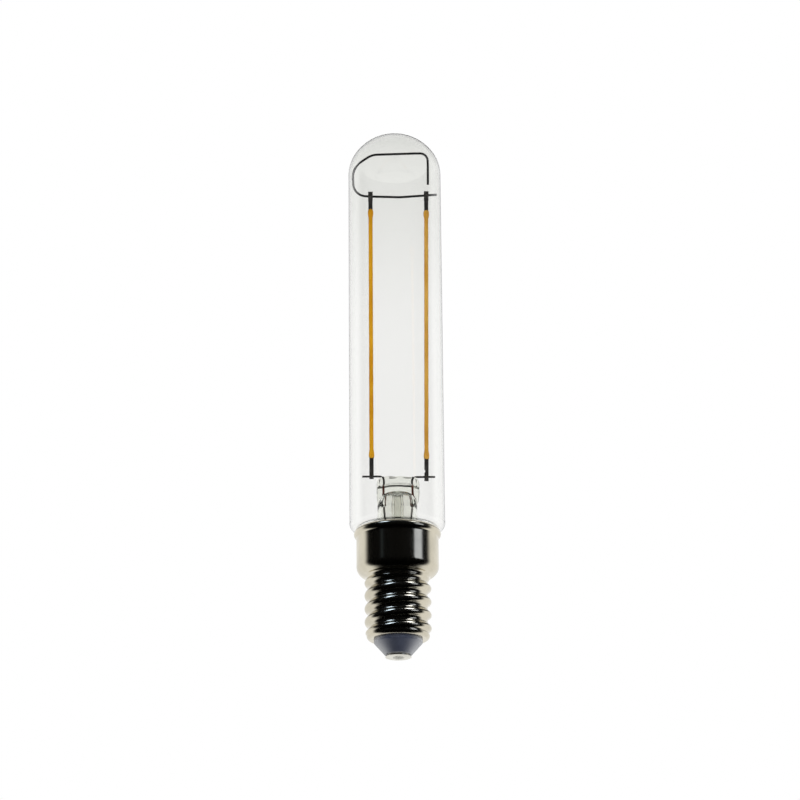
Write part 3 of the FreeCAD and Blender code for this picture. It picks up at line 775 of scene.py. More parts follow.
class LAMP_OT_stem(bpy.types.Operator):
    """Make the pinched stem glass and the exhaust tube inside it"""
    bl_idname = "lamp.stem"
    bl_label = "Stem Glass"

    def execute(self, context):
        sizes = context.scene.lamp_stem
        material = glass(
            "stem_glass", (0.80, 0.86, 0.70), 60.0, (0.93, 0.93, 0.90), (0.93, 0.93, 0.90)
        )
        roof = sizes.press_top - sizes.roof_gap
        self.stem(sizes, context.scene.lamp_glass, roof, material)
        self.exhaust_tube(sizes, roof, material)
        return {"FINISHED"}

    def stem(self, sizes, blown, roof, material):
        """Bell, round tube and press, with one hollow that ends under its roof."""
        foot = glass_low.z
        radius = sizes.diameter / 2
        bore = radius - sizes.wall
        skirt = blown.neck_diameter / 2 - blown.wall
        flare_top = foot + sizes.flare_length
        round_top = round_end(sizes)
        bell_steps = 15
        tube_steps = 4
        press_steps = 110
        hollow_steps = 40
        narrowing = 0.10
        flattening = 0.80

        def lower_part(across, low):
            """Sections from the neck's wall in and up to the tube, and up the tube."""
            sections = []
            for k in range(bell_steps):
                angle = math.pi / 2 * k / bell_steps
                reach = skirt - (skirt - across) * math.sin(angle)
                height = flare_top - (flare_top - low) * math.cos(angle)
                sections.append(superellipse(reach, reach, 2, height))
            for k in range(tube_steps + 1):
                height = flare_top + (round_top - flare_top) * k / tube_steps
                sections.append(superellipse(across, across, 2, height))
            return sections

        outer = lower_part(radius, foot + sizes.wall)
        for k in range(1, press_steps + 1):
            height = round_top + (sizes.press_top - round_top) * k / press_steps
            outer.append(stem_section(sizes, height))
        inner = lower_part(bore, foot)
        for k in range(1, hollow_steps + 1):
            share = k / hollow_steps
            arch = math.sqrt(max(1 - share ** 6, 0.004))
            width = bore * (1 - narrowing * share ** 1.2) * arch
            depth = bore * (1 - flattening * min(share * 1.15, 1.0) ** 1.3) * arch
            height = round_top + (roof - round_top) * share
            inner.append(superellipse(width, depth, 2.2, height, sizes.lean * share))
        mesh = lofted("stem_glass", list(reversed(inner)) + outer, 55)
        place("stem_glass", mesh, "stem_glass", material, "stem_glass")

    def exhaust_tube(self, sizes, roof, material):
        """A thin tube that opens just under the roof of the hollow and is melted shut below."""
        mouth_gap = 0.3 * MM
        thick = sizes.exhaust_diameter / 2
        thin = sizes.exhaust_bore / 2
        melt = sizes.exhaust_tip + thick
        mouth = roof - mouth_gap
        outline = arc(0, melt, thick, -90, 0, 10)
        outline += straight((thick, melt), (thick, mouth), 12)[1:]
        outline += straight((thin, mouth), (thin, melt), 12)
        outline += arc(0, melt, thin, 0, -90, 10)[1:]
        mesh = turned("exhaust_tube", outline, 48)
        mesh.transform(Matrix.Translation((sizes.lean / 2, 0, 0)))
        place("exhaust_tube", mesh, "stem_glass", material, "exhaust_tube")


def wire_tree():
    """Geometry tree: a wire with rounded bends and a slight wobble along a path."""
    tree, given, result = shape_tree("Bent Wire", [
        ("Diameter", "NodeSocketFloat", 0.0005),
        ("Wobble", "NodeSocketFloat", 0.00005),
        ("Sides", "NodeSocketInt", 18),
    ])
    path = add(tree, "GeometryNodeMeshToCurve", {"Mesh": given.outputs["Geometry"]})
    bend = add(tree, "GeometryNodeInputNamedAttribute", {"Name": "bend"}, data_type="FLOAT")
    fillet = add(tree, "GeometryNodeFilletCurve", {
        "Curve": path.outputs[0], "Count": 9, "Radius": bend.outputs["Attribute"],
        "Limit Radius": True,
    }, mode="POLY")
    spaced = add(tree, "GeometryNodeResampleCurve", {
        "Curve": fillet.outputs[0], "Length": 0.3 * MM,
    }, mode="LENGTH")
    where = add(tree, "GeometryNodeInputPosition")
    stray = add(tree, "ShaderNodeTexNoise", {
        "Vector": where.outputs[0], "Scale": 190.0, "Detail": 1.0,
    })
    centred = add(tree, "ShaderNodeVectorMath", {
        0: stray.outputs["Color"], 1: (0.5, 0.5, 0.5),
    }, operation="SUBTRACT")
    sway = Flow(tree, given.outputs["Wobble"]) * 2.0
    offset = add(tree, "ShaderNodeVectorMath", {
        0: centred.outputs[0], "Scale": sway,
    }, operation="SCALE")
    moved = add(tree, "GeometryNodeSetPosition", {
        "Geometry": spaced.outputs[0], "Offset": offset.outputs[0],
    })
    half = Flow(tree, given.outputs["Diameter"]) * 0.5
    ring = add(tree, "GeometryNodeCurvePrimitiveCircle", {
        "Resolution": given.outputs["Sides"], "Radius": half,
    })
    tube = add(tree, "GeometryNodeCurveToMesh", {
        "Curve": moved.outputs[0], "Profile Curve": ring.outputs["Curve"], "Fill Caps": True,
    })
    return end_tree(tree, given, result, tube)


def bent_wire(tree, name, points, bends, diameter, wobble, slot, material):
    """One wire along points, with a bend radius at each inner point."""
    path = bpy.data.meshes.new(name + "_path")
    path.from_pydata(points, [(k, k + 1) for k in range(len(points) - 1)], [])
    bend = path.attributes.new("bend", "FLOAT", "POINT")
    bend.data.foreach_set("value", [0.0, *bends, 0.0])
    sizes = {"Diameter": diameter, "Wobble": wobble, "Material": material}
    mesh = tidied(made_by(tree, path, sizes))
    return place(name, mesh, slot, material, name)


class LAMP_OT_wires(bpy.types.Operator):
    """Bend the support wire and the stem's leads"""
    bl_idname = "lamp.wires"
    bl_label = "Wires"

    def execute(self, context):
        sizes = context.scene.lamp_wires
        tree = wire_tree()
        self.support(tree, sizes)
        self.leads(tree, sizes, context.scene.lamp_stem)
        return {"FINISHED"}

    def support(self, tree, sizes):
        """The wire across the filaments' heads, with its loop to the glass. The route is in
        millimetres, across the lamp and up from the bridge."""
        dark = wire_metal("dark_wire", (0.020, 0.020, 0.021), 0.34, 0.5)
        route = (
            (9.2, 0.3), (5.6, 0.05), (1.0, -0.22), (-5.2, 0.0), (-8.95, 0.3), (-9.0, 5.3),
            (-7.9, 7.3), (-4.9, 9.3), (7.25, 9.55), (7.25, 2.5),
        )
        bends = (8.0, 12.0, 10.0, 2.8, 4.0, 5.0, 4.0, 1.6)
        along = Vector((0, -math.sin(sizes.support_lean), math.cos(sizes.support_lean)))
        start = Vector((0, 0, sizes.bridge_height))
        points = [start + Vector((across * MM, 0, 0)) + along * rise * MM for across, rise in route]
        bent_wire(
            tree, "support_wire", points, [bend * MM for bend in bends],
            sizes.support_diameter, sizes.wobble, "dark_wire", dark,
        )

    def leads(self, tree, sizes, stem):
        """On each side an arm, a red length in the press and a tail down to the board."""
        arm = wire_metal("nickel_wire", (0.055, 0.050, 0.048), 0.4, 0.5)
        red = wire_metal("seal_wire", (0.16, 0.050, 0.035), 0.4, 0.4)
        copper = wire_metal("copper_wire", (0.060, 0.045, 0.036), 0.4, 0.5)
        board_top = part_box("driver_board")[1].z
        knee_drop = 1.2 * MM
        knee_bend = 3.0 * MM
        foot_rise = 2.5 * MM
        foot_spacing = 4.6 * MM
        slot_depth = 1.3 * MM
        wobble = sizes.wobble / 3

        def lead(name, route, bends, slot, material):
            points = [Vector((across, 0, height)) for across, height in route]
            bent_wire(tree, name, points, bends, sizes.lead_diameter, wobble, slot, material)

        for side, sign in zip(SIDES, (-1, 1)):
            height = getattr(sizes, "arm_" + side)
            tail = getattr(sizes, "arm_end_" + side)
            across = stem.lean + sign * sizes.lead_spacing / 2
            foot = stem.lean / 2 + sign * foot_spacing / 2
            arm_route = [(tail, height), (across, height), (across, sizes.seal_top)]
            seal_route = [(across, sizes.seal_top), (across, sizes.seal_bottom)]
            lower_route = [
                (across, sizes.seal_bottom), (across, sizes.seal_bottom - knee_drop),
                (foot, board_top + foot_rise), (foot, board_top - slot_depth),
            ]
            lead("upper_lead_" + side, arm_route, [sizes.lead_bend], "nickel_wire", arm)
            lead("seal_wire_" + side, seal_route, [], "seal_wire", red)
            lead("lower_lead_" + side, lower_route, [knee_bend] * 2, "copper_wire", copper)


def filament_line(context, side):
    """Middle of a filament, and the matrix that stands it up between its wires."""
    sizes = context.scene.lamp_filaments
    wires = context.scene.lamp_wires
    foot = Vector((getattr(sizes, "foot_" + side), 0, getattr(wires, "arm_" + side)))
    head = Vector((getattr(sizes, "head_" + side), 0, wires.bridge_height))
    axis = (head - foot).normalized()
    middle = foot + axis * ((getattr(sizes, "middle_" + side) - foot.z) / axis.z)
    matrix = Matrix.Translation(middle) @ Matrix.Rotation(math.atan2(axis.x, axis.z), 4, "Y")
    return foot, head, middle, matrix


def coat_mesh(sizes, side):
    """Phosphor coat: a soft round-cornered bar, swollen at its ends and slightly uneven."""
    count = 300
    seed = 0.0 if side == "left" else 31.0
    low_swell = 1.15
    high_swell = 1.25
    end_round = 0.45 * MM
    slack = 0.03 * MM
    half = sizes.coat_length / 2
    sections = []
    for k in range(count + 1):
        share = k / count
        along = -half + sizes.coat_length * share
        from_end = min(along + half, half - along)
        cap = min(from_end / end_round, 1.0)
        rounding = math.sqrt(max(1 - (1 - cap) ** 2, 0.03))
        near = min(from_end / sizes.bead_length, 1.0)
        swell = max(0.0, math.sin(near * math.pi)) ** 0.8
        swell *= low_swell if along < 0 else high_swell
        bead = (sizes.bead_width - sizes.coat_width) / 2 * swell
        grow = uneven(0.022 * MM, seed, along * 420, 0.0)
        grow += uneven(0.010 * MM, seed + 9, along * 1500, 0.0)
        half_width = (sizes.coat_width / 2 + grow - slack) * rounding + bead * rounding
        half_depth = (sizes.coat_depth / 2 + grow - slack) * rounding + bead * rounding
        sway = uneven(0.03 * MM, seed + 4, along * 160, 0.0)
        sections.append(superellipse(half_width, half_depth, 2.6, along, sway, 20))
    return lofted("phosphor_coat_" + side, sections, 60)


def chip_tree():
    """Geometry tree: a row of bonded chips along a strip."""
    tree, given, result = shape_tree("Chip Row", [
        ("Count", "NodeSocketInt", 28),
        ("Span", "NodeSocketFloat", 0.0522),
        ("Length", "NodeSocketFloat", 0.00075),
        ("Width", "NodeSocketFloat", 0.00026),
        ("Thickness", "NodeSocketFloat", 0.0001),
        ("Front", "NodeSocketFloat", -0.0002),
    ])
    half = Flow(tree, given.outputs["Span"]) * 0.5
    low = add(tree, "ShaderNodeCombineXYZ", {"Y": given.outputs["Front"], "Z": half * -1.0})
    high = add(tree, "ShaderNodeCombineXYZ", {"Y": given.outputs["Front"], "Z": half})
    line = add(tree, "GeometryNodeMeshLine", {
        "Count": given.outputs["Count"], "Start Location": low.outputs[0],
        "Offset": high.outputs[0],
    }, mode="END_POINTS")
    size = add(tree, "ShaderNodeCombineXYZ", {
        "X": given.outputs["Width"], "Y": given.outputs["Thickness"], "Z": given.outputs["Length"],
    })
    chip = add(tree, "GeometryNodeMeshCube", {"Size": size.outputs[0]})
    rows = add(tree, "GeometryNodeInstanceOnPoints", {
        "Points": line.outputs[0], "Instance": chip.outputs[0],
    })
    return end_tree(tree, given, result, rows)


def tab_mesh(sizes, low, high, wire_at, wire_radius, head=None, nick=None):
    """A metal tab from low to high that bows over its wire. It may have a pressed head, given as
    (half width, length), and a nick at a height."""
    rows = 40
    columns = 8
    bow_length = 0.55 * MM
    nick_length = 0.3 * MM
    nick_share = 0.62
    vertices = []
    for k in range(rows + 1):
        z = low + (high - low) * k / rows
        half = head[0] if head and z > high - head[1] else sizes.tab_width / 2
        bow = math.exp(-((z - wire_at) / bow_length) ** 2) * wire_radius
        for j in range(columns + 1):
            x = -half + 2 * half * j / columns
            if nick and x < 0 and abs(z - nick) < nick_length:
                x *= nick_share
            vertices.append(Vector((x, -bow, z)))
    faces = []
    across = columns + 1
    for k in range(rows):
        for j in range(columns):
            first = k * across + j
            faces.append((first, first + 1, first + across + 1, first + across))
    mesh = bpy.data.meshes.new("tab")
    mesh.from_pydata(vertices, [], faces)
    obj = bpy.data.objects.new("tab_base", mesh)
    bpy.context.scene.collection.objects.link(obj)
    solid = obj.modifiers.new("Thickness", "SOLIDIFY")
    solid.thickness = sizes.tab_thickness
    solid.offset = 0.0
    edge = obj.modifiers.new("Edge", "BEVEL")
    edge.width = 0.03 * MM
    edge.segments = 2
    edge.limit_method = "ANGLE"
    depsgraph = bpy.context.evaluated_depsgraph_get()
    result = bpy.data.meshes.new_from_object(obj.evaluated_get(depsgraph), depsgraph=depsgraph)
    bpy.data.objects.remove(obj)
    return tidied(result)


class LAMP_OT_filaments(bpy.types.Operator):
    """Make both filaments: strip, chips, phosphor coat and metal tabs"""
    bl_idname = "lamp.filaments"
    bl_label = "Filaments"

    def execute(self, context):
        sizes = context.scene.lamp_filaments
        ceramic = dull("strip_ceramic", (0.80, 0.79, 0.73), 0.55)
        chip = metal("chip", (0.35, 0.45, 0.62), 0.25, metallic=0.2)
        tab = metal(
            "tab_metal", (0.060, 0.056, 0.054), 0.42, stained=0.5, scale=1800.0, bump=0.12,
            metallic=0.35,
        )
        strip_thickness = 0.3 * MM
        bare_end = 2.4 * MM
        tree = chip_tree()
        for side in SIDES:
            foot, head, middle, matrix = filament_line(context, side)
            name = "phosphor_coat_" + side
            finish = "phosphor_" + side
            coat = coat_mesh(sizes, side)
            coat.transform(matrix)
            amber = tuple(getattr(sizes, "amber_" + side))
            place(name, coat, finish, phosphor(finish, amber), name)
            row = made_by(tree, bpy.data.meshes.new("row"), {
                "Count": sizes.chip_count,
                "Span": sizes.coat_length - 2 * bare_end,
                "Length": sizes.chip_length,
                "Width": sizes.chip_width,
                "Thickness": sizes.chip_thickness,
                "Front": -(strip_thickness + sizes.chip_thickness) / 2,
                "Material": chip,
            })
            row.transform(matrix)
            place("led_chips_" + side, tidied(row), "chip", chip, "led_chips_" + side)
            dress("filament_strip_" + side, ceramic)
            front = -(strip_thickness + sizes.tab_thickness) / 2
            stand = matrix @ Matrix.Translation((0, front, 0))
            reach = ((middle - foot).length, (head - middle).length)
            self.tabs(sizes, context.scene.lamp_wires, side, reach, stand, tab)
        return {"FINISHED"}

    def tabs(self, sizes, wires, side, reach, stand, material):
        """The tab at each end of a filament, welded over its wire."""
        grip = 1.3 * MM
        head_rise = 1.0 * MM
        head_length = 2.2 * MM
        nick_rise = 1.1 * MM
        inner = sizes.coat_length / 2 - grip
        tail = getattr(sizes, "tab_tail_" + side)
        low_wire, high_wire = (-reach[0], reach[1])
        nick = low_wire + nick_rise if side == "right" else None
        pressed = (sizes.crimp_width / 2, head_length)
        lower = tab_mesh(
            sizes, low_wire - tail, -inner, low_wire, wires.lead_diameter / 2, nick=nick
        )
        upper = tab_mesh(
            sizes, inner, high_wire + head_rise, high_wire, wires.support_diameter / 2, pressed
        )
        for mesh, end in ((lower, "lower"), (upper, "upper")):
            mesh.transform(stand)
            name = "filament_tab_%s_%s" % (end, side)
            place(name, mesh, "tab_metal", material, name)


def shell_path(sizes):
    """Outer side of the sheet from the rim's edge to the lip, as (across, height) points, and the
    first and last point of its threaded stretch."""
    top = shell_high.z
    middle = (sizes.major + sizes.minor) / 4
    collar = sizes.collar_diameter / 2
    rim_across = sizes.rim_diameter / 2 - sizes.rim_curve
    rim_height = top - sizes.rim_depth
    side = collar + sizes.rim_fillet - rim_across
    drop = math.sqrt((sizes.rim_curve + sizes.rim_fillet) ** 2 - side ** 2)
    rim_turn = math.degrees(math.atan2(-drop, side))
    rim_edge = math.degrees(math.asin(sizes.rim_depth / sizes.rim_curve))
    root_height = rim_height - drop
    shoulder_across = collar - sizes.shoulder
    shoulder_height = top - sizes.collar_length
    side = middle + sizes.neck_blend - shoulder_across
    drop = math.sqrt((sizes.shoulder + sizes.neck_blend) ** 2 - side ** 2)
    neck_turn = math.degrees(math.atan2(-drop, side))
    neck_height = shoulder_height - drop
    curl_height = shell_low.z + sizes.end_curl
    points = arc(rim_across, rim_height, sizes.rim_curve, rim_edge, rim_turn, 16)
    points += arc(collar + sizes.rim_fillet, root_height, sizes.rim_fillet, 180 + rim_turn, 180, 6)[1:]
    points += straight((collar, root_height), (collar, shoulder_height), 12)[1:]
    points += arc(shoulder_across, shoulder_height, sizes.shoulder, 0, neck_turn, 20)[1:]
    points += arc(middle + sizes.neck_blend, neck_height, sizes.neck_blend, 180 + neck_turn, 180, 6)[1:]
    first = len(points) - 1
    points += straight((middle, neck_height), (middle, curl_height), 120)[1:]
    last = len(points) - 1
    points += arc(middle - sizes.end_curl, curl_height, sizes.end_curl, 0, -90, 12)[1:]
    points += straight((middle - sizes.end_curl, shell_low.z), (sizes.lip_bore / 2, shell_low.z), 2)[1:]
    return points, first, last


def inset_path(points, thickness):
    """The other side of the sheet, towards the axis and the inside."""
    result = []
    for k, (across, height) in enumerate(points):
        before = Vector(points[max(k - 1, 0)])
        after = Vector(points[min(k + 1, len(points) - 1)])
        along = (after - before).normalized()
        result.append((across + along.y * thickness, height - along.x * thickness))
    return result


def thread_tree():
    """Geometry tree: turns a section round the axis and rolls a helical knuckle thread into it."""
    tree, given, result = shape_tree("Rolled Thread", [
        ("Steps", "NodeSocketInt", 180),
        ("Pitch", "NodeSocketFloat", 0.002822),
        ("Major", "NodeSocketFloat", 0.01389),
        ("Minor", "NodeSocketFloat", 0.01229),
        ("Crest Height", "NodeSocketFloat", 0.0163),
        ("Thread Top", "NodeSocketFloat", 0.017),
        ("Thread Bottom", "NodeSocketFloat", 0.0049),
        ("Run-out", "NodeSocketFloat", 0.0008),
    ])

    def value(name):
        return Flow(tree, given.outputs[name])

    def stored(name):
        node = add(tree, "GeometryNodeInputNamedAttribute", {"Name": name}, data_type="FLOAT")
        return Flow(tree, node.outputs["Attribute"])

    section = add(tree, "GeometryNodeMeshToCurve", {"Mesh": given.outputs["Geometry"]})
    circle = add(tree, "GeometryNodeCurvePrimitiveCircle", {
        "Resolution": given.outputs["Steps"], "Radius": 1.0,
    })
    index = Flow(tree, add(tree, "GeometryNodeInputIndex").outputs[0])
    angle = index / value("Steps") * (2 * math.pi)
    marked = add(tree, "GeometryNodeStoreNamedAttribute", {
        "Geometry": circle.outputs["Curve"], "Name": "turn", "Value": angle,
    }, data_type="FLOAT", domain="POINT")
    swept = add(tree, "GeometryNodeCurveToMesh", {
        "Curve": marked.outputs[0], "Profile Curve": section.outputs[0],
    })

    across = stored("across")
    height = stored("height")
    depth = stored("depth")
    around = stored("turn")
    pitch = value("Pitch")
    half_pitch = pitch / 2.0
    middle = (value("Major") + value("Minor")) / 4.0
    rise = (value("Major") - value("Minor")) / 2.0
    curve = (rise.squared() + half_pitch.squared()) / (rise * 4.0)
    crest_centre = value("Major") / 2.0 - curve
    root_centre = value("Minor") / 2.0 + curve
    lean = half_pitch / (half_pitch.squared() + (root_centre - crest_centre).squared()).root()
    crest_at = value("Crest Height") + pitch * (around / (2 * math.pi) - 0.5)
    from_crest = ((height - crest_at) / pitch).math("PINGPONG", 0.5) * pitch
    crest_curve = curve - depth
    root_curve = curve + depth
    crest = crest_centre + (crest_curve.squared() - from_crest.squared()).root()
    root = root_centre - (root_curve.squared() - (half_pitch - from_crest).squared()).root()
    on_crest = from_crest.math("LESS_THAN", crest_curve * lean)
    knuckle = root + (crest - root) * on_crest
    top = value("Thread Top")
    bottom = value("Thread Bottom")
    run_out = value("Run-out")
    fade = height.eased(top, top - run_out) * height.eased(bottom, bottom + run_out)
    radius = across + (knuckle - (middle - depth)) * (fade * stored("threaded"))
    spot = add(tree, "ShaderNodeCombineXYZ", {
        "X": radius * around.math("COSINE"), "Y": radius * around.math("SINE"), "Z": height,
    })
    moved = add(tree, "GeometryNodeSetPosition", {
        "Geometry": swept.outputs[0], "Position": spot.outputs[0],
    })
    return end_tree(tree, given, result, moved)


class LAMP_OT_screw_shell(bpy.types.Operator):
    """Roll the nickelled shell with its rim, collar, helical thread and turned-in end"""
    bl_idname = "lamp.screw_shell"
    bl_label = "Screw Shell"

    def execute(self, context):
        sizes = context.scene.lamp_shell
        outer, first, last = shell_path(sizes)
        inner = inset_path(outer, sizes.sheet)
        loop = outer + list(reversed(inner))
        count = len(outer)
        flags = [1.0 if first <= k <= last else 0.0 for k in range(count)]
        attributes = {
            "across": [point[0] for point in loop],
            "height": [point[1] for point in loop],
            "depth": [0.0] * count + [sizes.sheet] * count,
            "threaded": flags + list(reversed(flags)),
        }
        section = bpy.data.meshes.new("shell_section")
        edges = [(k, (k + 1) % len(loop)) for k in range(len(loop))]
        section.from_pydata([(x, 0, z) for x, z in loop], edges, [])
        for name, values in attributes.items():
            attribute = section.attributes.new(name, "FLOAT", "POINT")
            attribute.data.foreach_set("value", values)
        nickel = metal(
            "nickel_plate", tuple(sizes.nickel), 0.165, spread=0.05, scale=1100.0, bump=0.0, stained=0.90,
        )
        mesh = made_by(thread_tree(), section, {
            "Steps": sizes.steps,
            "Pitch": sizes.pitch,
            "Major": sizes.major,
            "Minor": sizes.minor,
            "Crest Height": sizes.crest_height,
            "Thread Top": sizes.thread_top,
            "Thread Bottom": sizes.thread_bottom,
            "Run-out": sizes.run_out,
            "Material": nickel,
        })
        place("screw_shell", tidied(mesh), "nickel_plate", nickel, "screw_shell")
        return {"FINISHED"}


class LAMP_OT_cap_end(bpy.types.Operator):
    """Make the moulded glass insulator, the contact plate and its solder"""
    bl_idname = "lamp.cap_end"
    bl_label = "Insulator and Contact"

    def execute(self, context):
        sizes = context.scene.lamp_cap_end
        self.insulator(sizes, context.scene.lamp_shell)
        self.contact(sizes)
        self.solder(sizes)
        return {"FINISHED"}

    def insulator(self, sizes, shell):
        """A cone under a straight band, seated in the shell's end and hollow above."""
        band_round = 0.4 * MM
        tip_edge = (0.05 * MM, 0.03 * MM)
        hollow_taper = 0.6 * MM
        seat = shell_low.z + shell.sheet
        neck = shell.lip_bore / 2
        body = shell.minor / 2 - shell.sheet - sizes.clearance
        cup = body - sizes.wall
        band = shell_low.z - sizes.band
        tip = sizes.tip_diameter / 2
        tip_height = sizes.tip_height
        hole = sizes.wire_hole / 2
        floor = shell_low.z + sizes.floor
        top = insulator_top
        slope = math.degrees(math.atan2(band - tip_height, neck - tip))
        reach = band_round * math.tan(math.radians((90 - slope) / 2))
        outline = [(hole, tip_height), (tip - tip_edge[0], tip_height)]
        outline += straight((tip, tip_height + tip_edge[1]), (neck, band), 14)[:-2]
        outline += arc(neck - band_round, band + reach, band_round, slope - 90, 0, 8)
        outline += [(neck, seat), (body - sizes.edge, seat), (body, seat + sizes.edge), (body, top)]
        outline += [(cup, top), (cup - hollow_taper, floor), (hole, floor)]
        mesh = turned("cap_insulator", outline, 128, None, 35)
        material = dark_moulded_glass(tuple(sizes.dark_glass))
        place("cap_insulator", mesh, "dark_glass", material, "cap_insulator")

    def contact(self, sizes):
        """A pressed plate that bulges down to its hole, with a rolled rim under the insulator."""
        sunk = 0.06 * MM
        lip = 0.50 * MM
        groove = 0.50 * MM
        rim_rise = 0.08 * MM
        rim_round = 0.05 * MM
        dent_scale = 900
        dent_depth = 0.012 * MM
        top = sizes.tip_height
        edge = sizes.contact_diameter / 2
        opening = sizes.contact_hole / 2
        low = sizes.solder_height - sunk
        rise = top - lip - low
        sphere = (edge ** 2 + rise ** 2) / (2 * rise)
        centre = low + sphere
        bottom = []
        for k in range(25):
            across = opening + (edge - sunk - opening) * k / 24
            bottom.append((across, centre - math.sqrt(sphere ** 2 - across ** 2)))
        rim = top - lip + rim_rise
        side_wall = [(edge, rim - rim_round), (edge - rim_round, rim), (edge - groove, rim)]
        side_wall += [(edge - groove, top)]
        inside = edge - groove - sizes.contact_sheet
        back = [(inside, top)]
        back += [(r, z + sizes.contact_sheet) for r, z in reversed(bottom) if r < inside]

        def hammered(point, k):
            """Shallow dents, always upwards, so that the plate keeps its lowest point."""
            dent = noise.noise(point * dent_scale) * dent_depth
            return point + Vector((0, 0, abs(dent)))

        mesh = turned("contact_plate", bottom + side_wall + back, 96, hammered, 35)
        tin = metal("contact_metal", tuple(sizes.tin), 0.3, spread=0.10, bump=0.08, stained=0.88)
        place("contact_plate", mesh, "contact_metal", tin, "contact_plate")

    def solder(self, sizes):
        """A low drop of solder that fills the plate's hole and spreads round it."""
        plug_gap = 0.02 * MM
        plug_length = 0.5 * MM
        edge_stray = 0.14
        skin_scale = 1100
        skin_lift = 0.04 * MM
        height = sizes.solder_height
        radius = sizes.solder_diameter / 2
        ball = (radius ** 2 + height ** 2) / (2 * height)
        outline = []
        for k in range(21):
            across = radius * k / 20
            outline.append((across, ball - math.sqrt(ball ** 2 - across ** 2)))
        plug = sizes.contact_hole / 2 - plug_gap
        outline += [(plug, height + plug_length), (0.0, height + plug_length)]

        def ragged(point, k):
            """The edge strays and the skin is uneven, but the tip stays the lowest point."""
            share = min(point.xy.length / radius, 1.0)
            angle = math.atan2(point.y, point.x)
            around = Vector((math.cos(angle), math.sin(angle), 3.0)) * 1.3
            stray = noise.noise(around) * edge_stray * share
            lift = abs(noise.noise(point * skin_scale)) * skin_lift * share
            return Vector((point.x * (1 + stray), point.y * (1 + stray), point.z + lift))

        mesh = turned("contact_solder", outline, 72, ragged, 35)
        tinned = metal(
            "solder", (0.78, 0.77, 0.70), 0.50, spread=0.10, bump=0.08, stained=0.92, metallic=0.4
        )
        place("contact_solder", mesh, "solder", tinned, "contact_solder")


class LAMP_OT_driver(bpy.types.Operator):
    """Finish the driver, its wires and the basing cement inside the cap"""
    bl_idname = "lamp.driver"
    bl_label = "Driver"

    def execute(self, context):
        finishes = {
            "basing_cement": dull("cement", (0.72, 0.69, 0.60), 0.85, scale=1800.0, bump=0.6),
            "driver_board": dull("board_laminate", (0.62, 0.66, 0.58), 0.45, scale=2600.0),
            "bridge_rectifier": dull("moulding", (0.028, 0.028, 0.030), 0.5, scale=3000.0),
            "reservoir_capacitor": metal("can", (0.55, 0.55, 0.57), 0.3),
            "fusible_resistor": dull("resistor_body", (0.22, 0.42, 0.46), 0.4, scale=2400.0),
            "live_wire": dull("wire_cover", (0.68, 0.68, 0.66), 0.4, scale=2400.0),
            "neutral_solder": metal("neutral_solder", (0.70, 0.70, 0.68), 0.3, bump=0.2),
        }
        finishes["driver_chip"] = finishes["bridge_rectifier"]
        finishes["neutral_wire"] = finishes["live_wire"]
        for node, material in finishes.items():
            dress(node, material)
        return {"FINISHED"}


def softbox(name, azimuth, height, distance, width, tall, radiance, tint, aim=0.02):
    """A soft lamp turned to a height on the lamp's axis. Its azimuth is in degrees, from the
    camera's side to the right."""
    angle = math.radians(azimuth)
    data = bpy.data.lights.new(name, "AREA")
    data.shape = "RECTANGLE"
    data.size = width
    data.size_y = tall
    data.color = tint
    data.energy = radiance * math.pi * width * tall
    lamp = bpy.data.objects.new(name, data)
    lamp.location = (distance * math.sin(angle), -distance * math.cos(angle), height)
    direction = Vector((0, 0, aim)) - lamp.location
    lamp.rotation_euler = direction.to_track_quat("-Z", "Y").to_euler()
    bpy.context.scene.collection.objects.link(lamp)
    return lamp


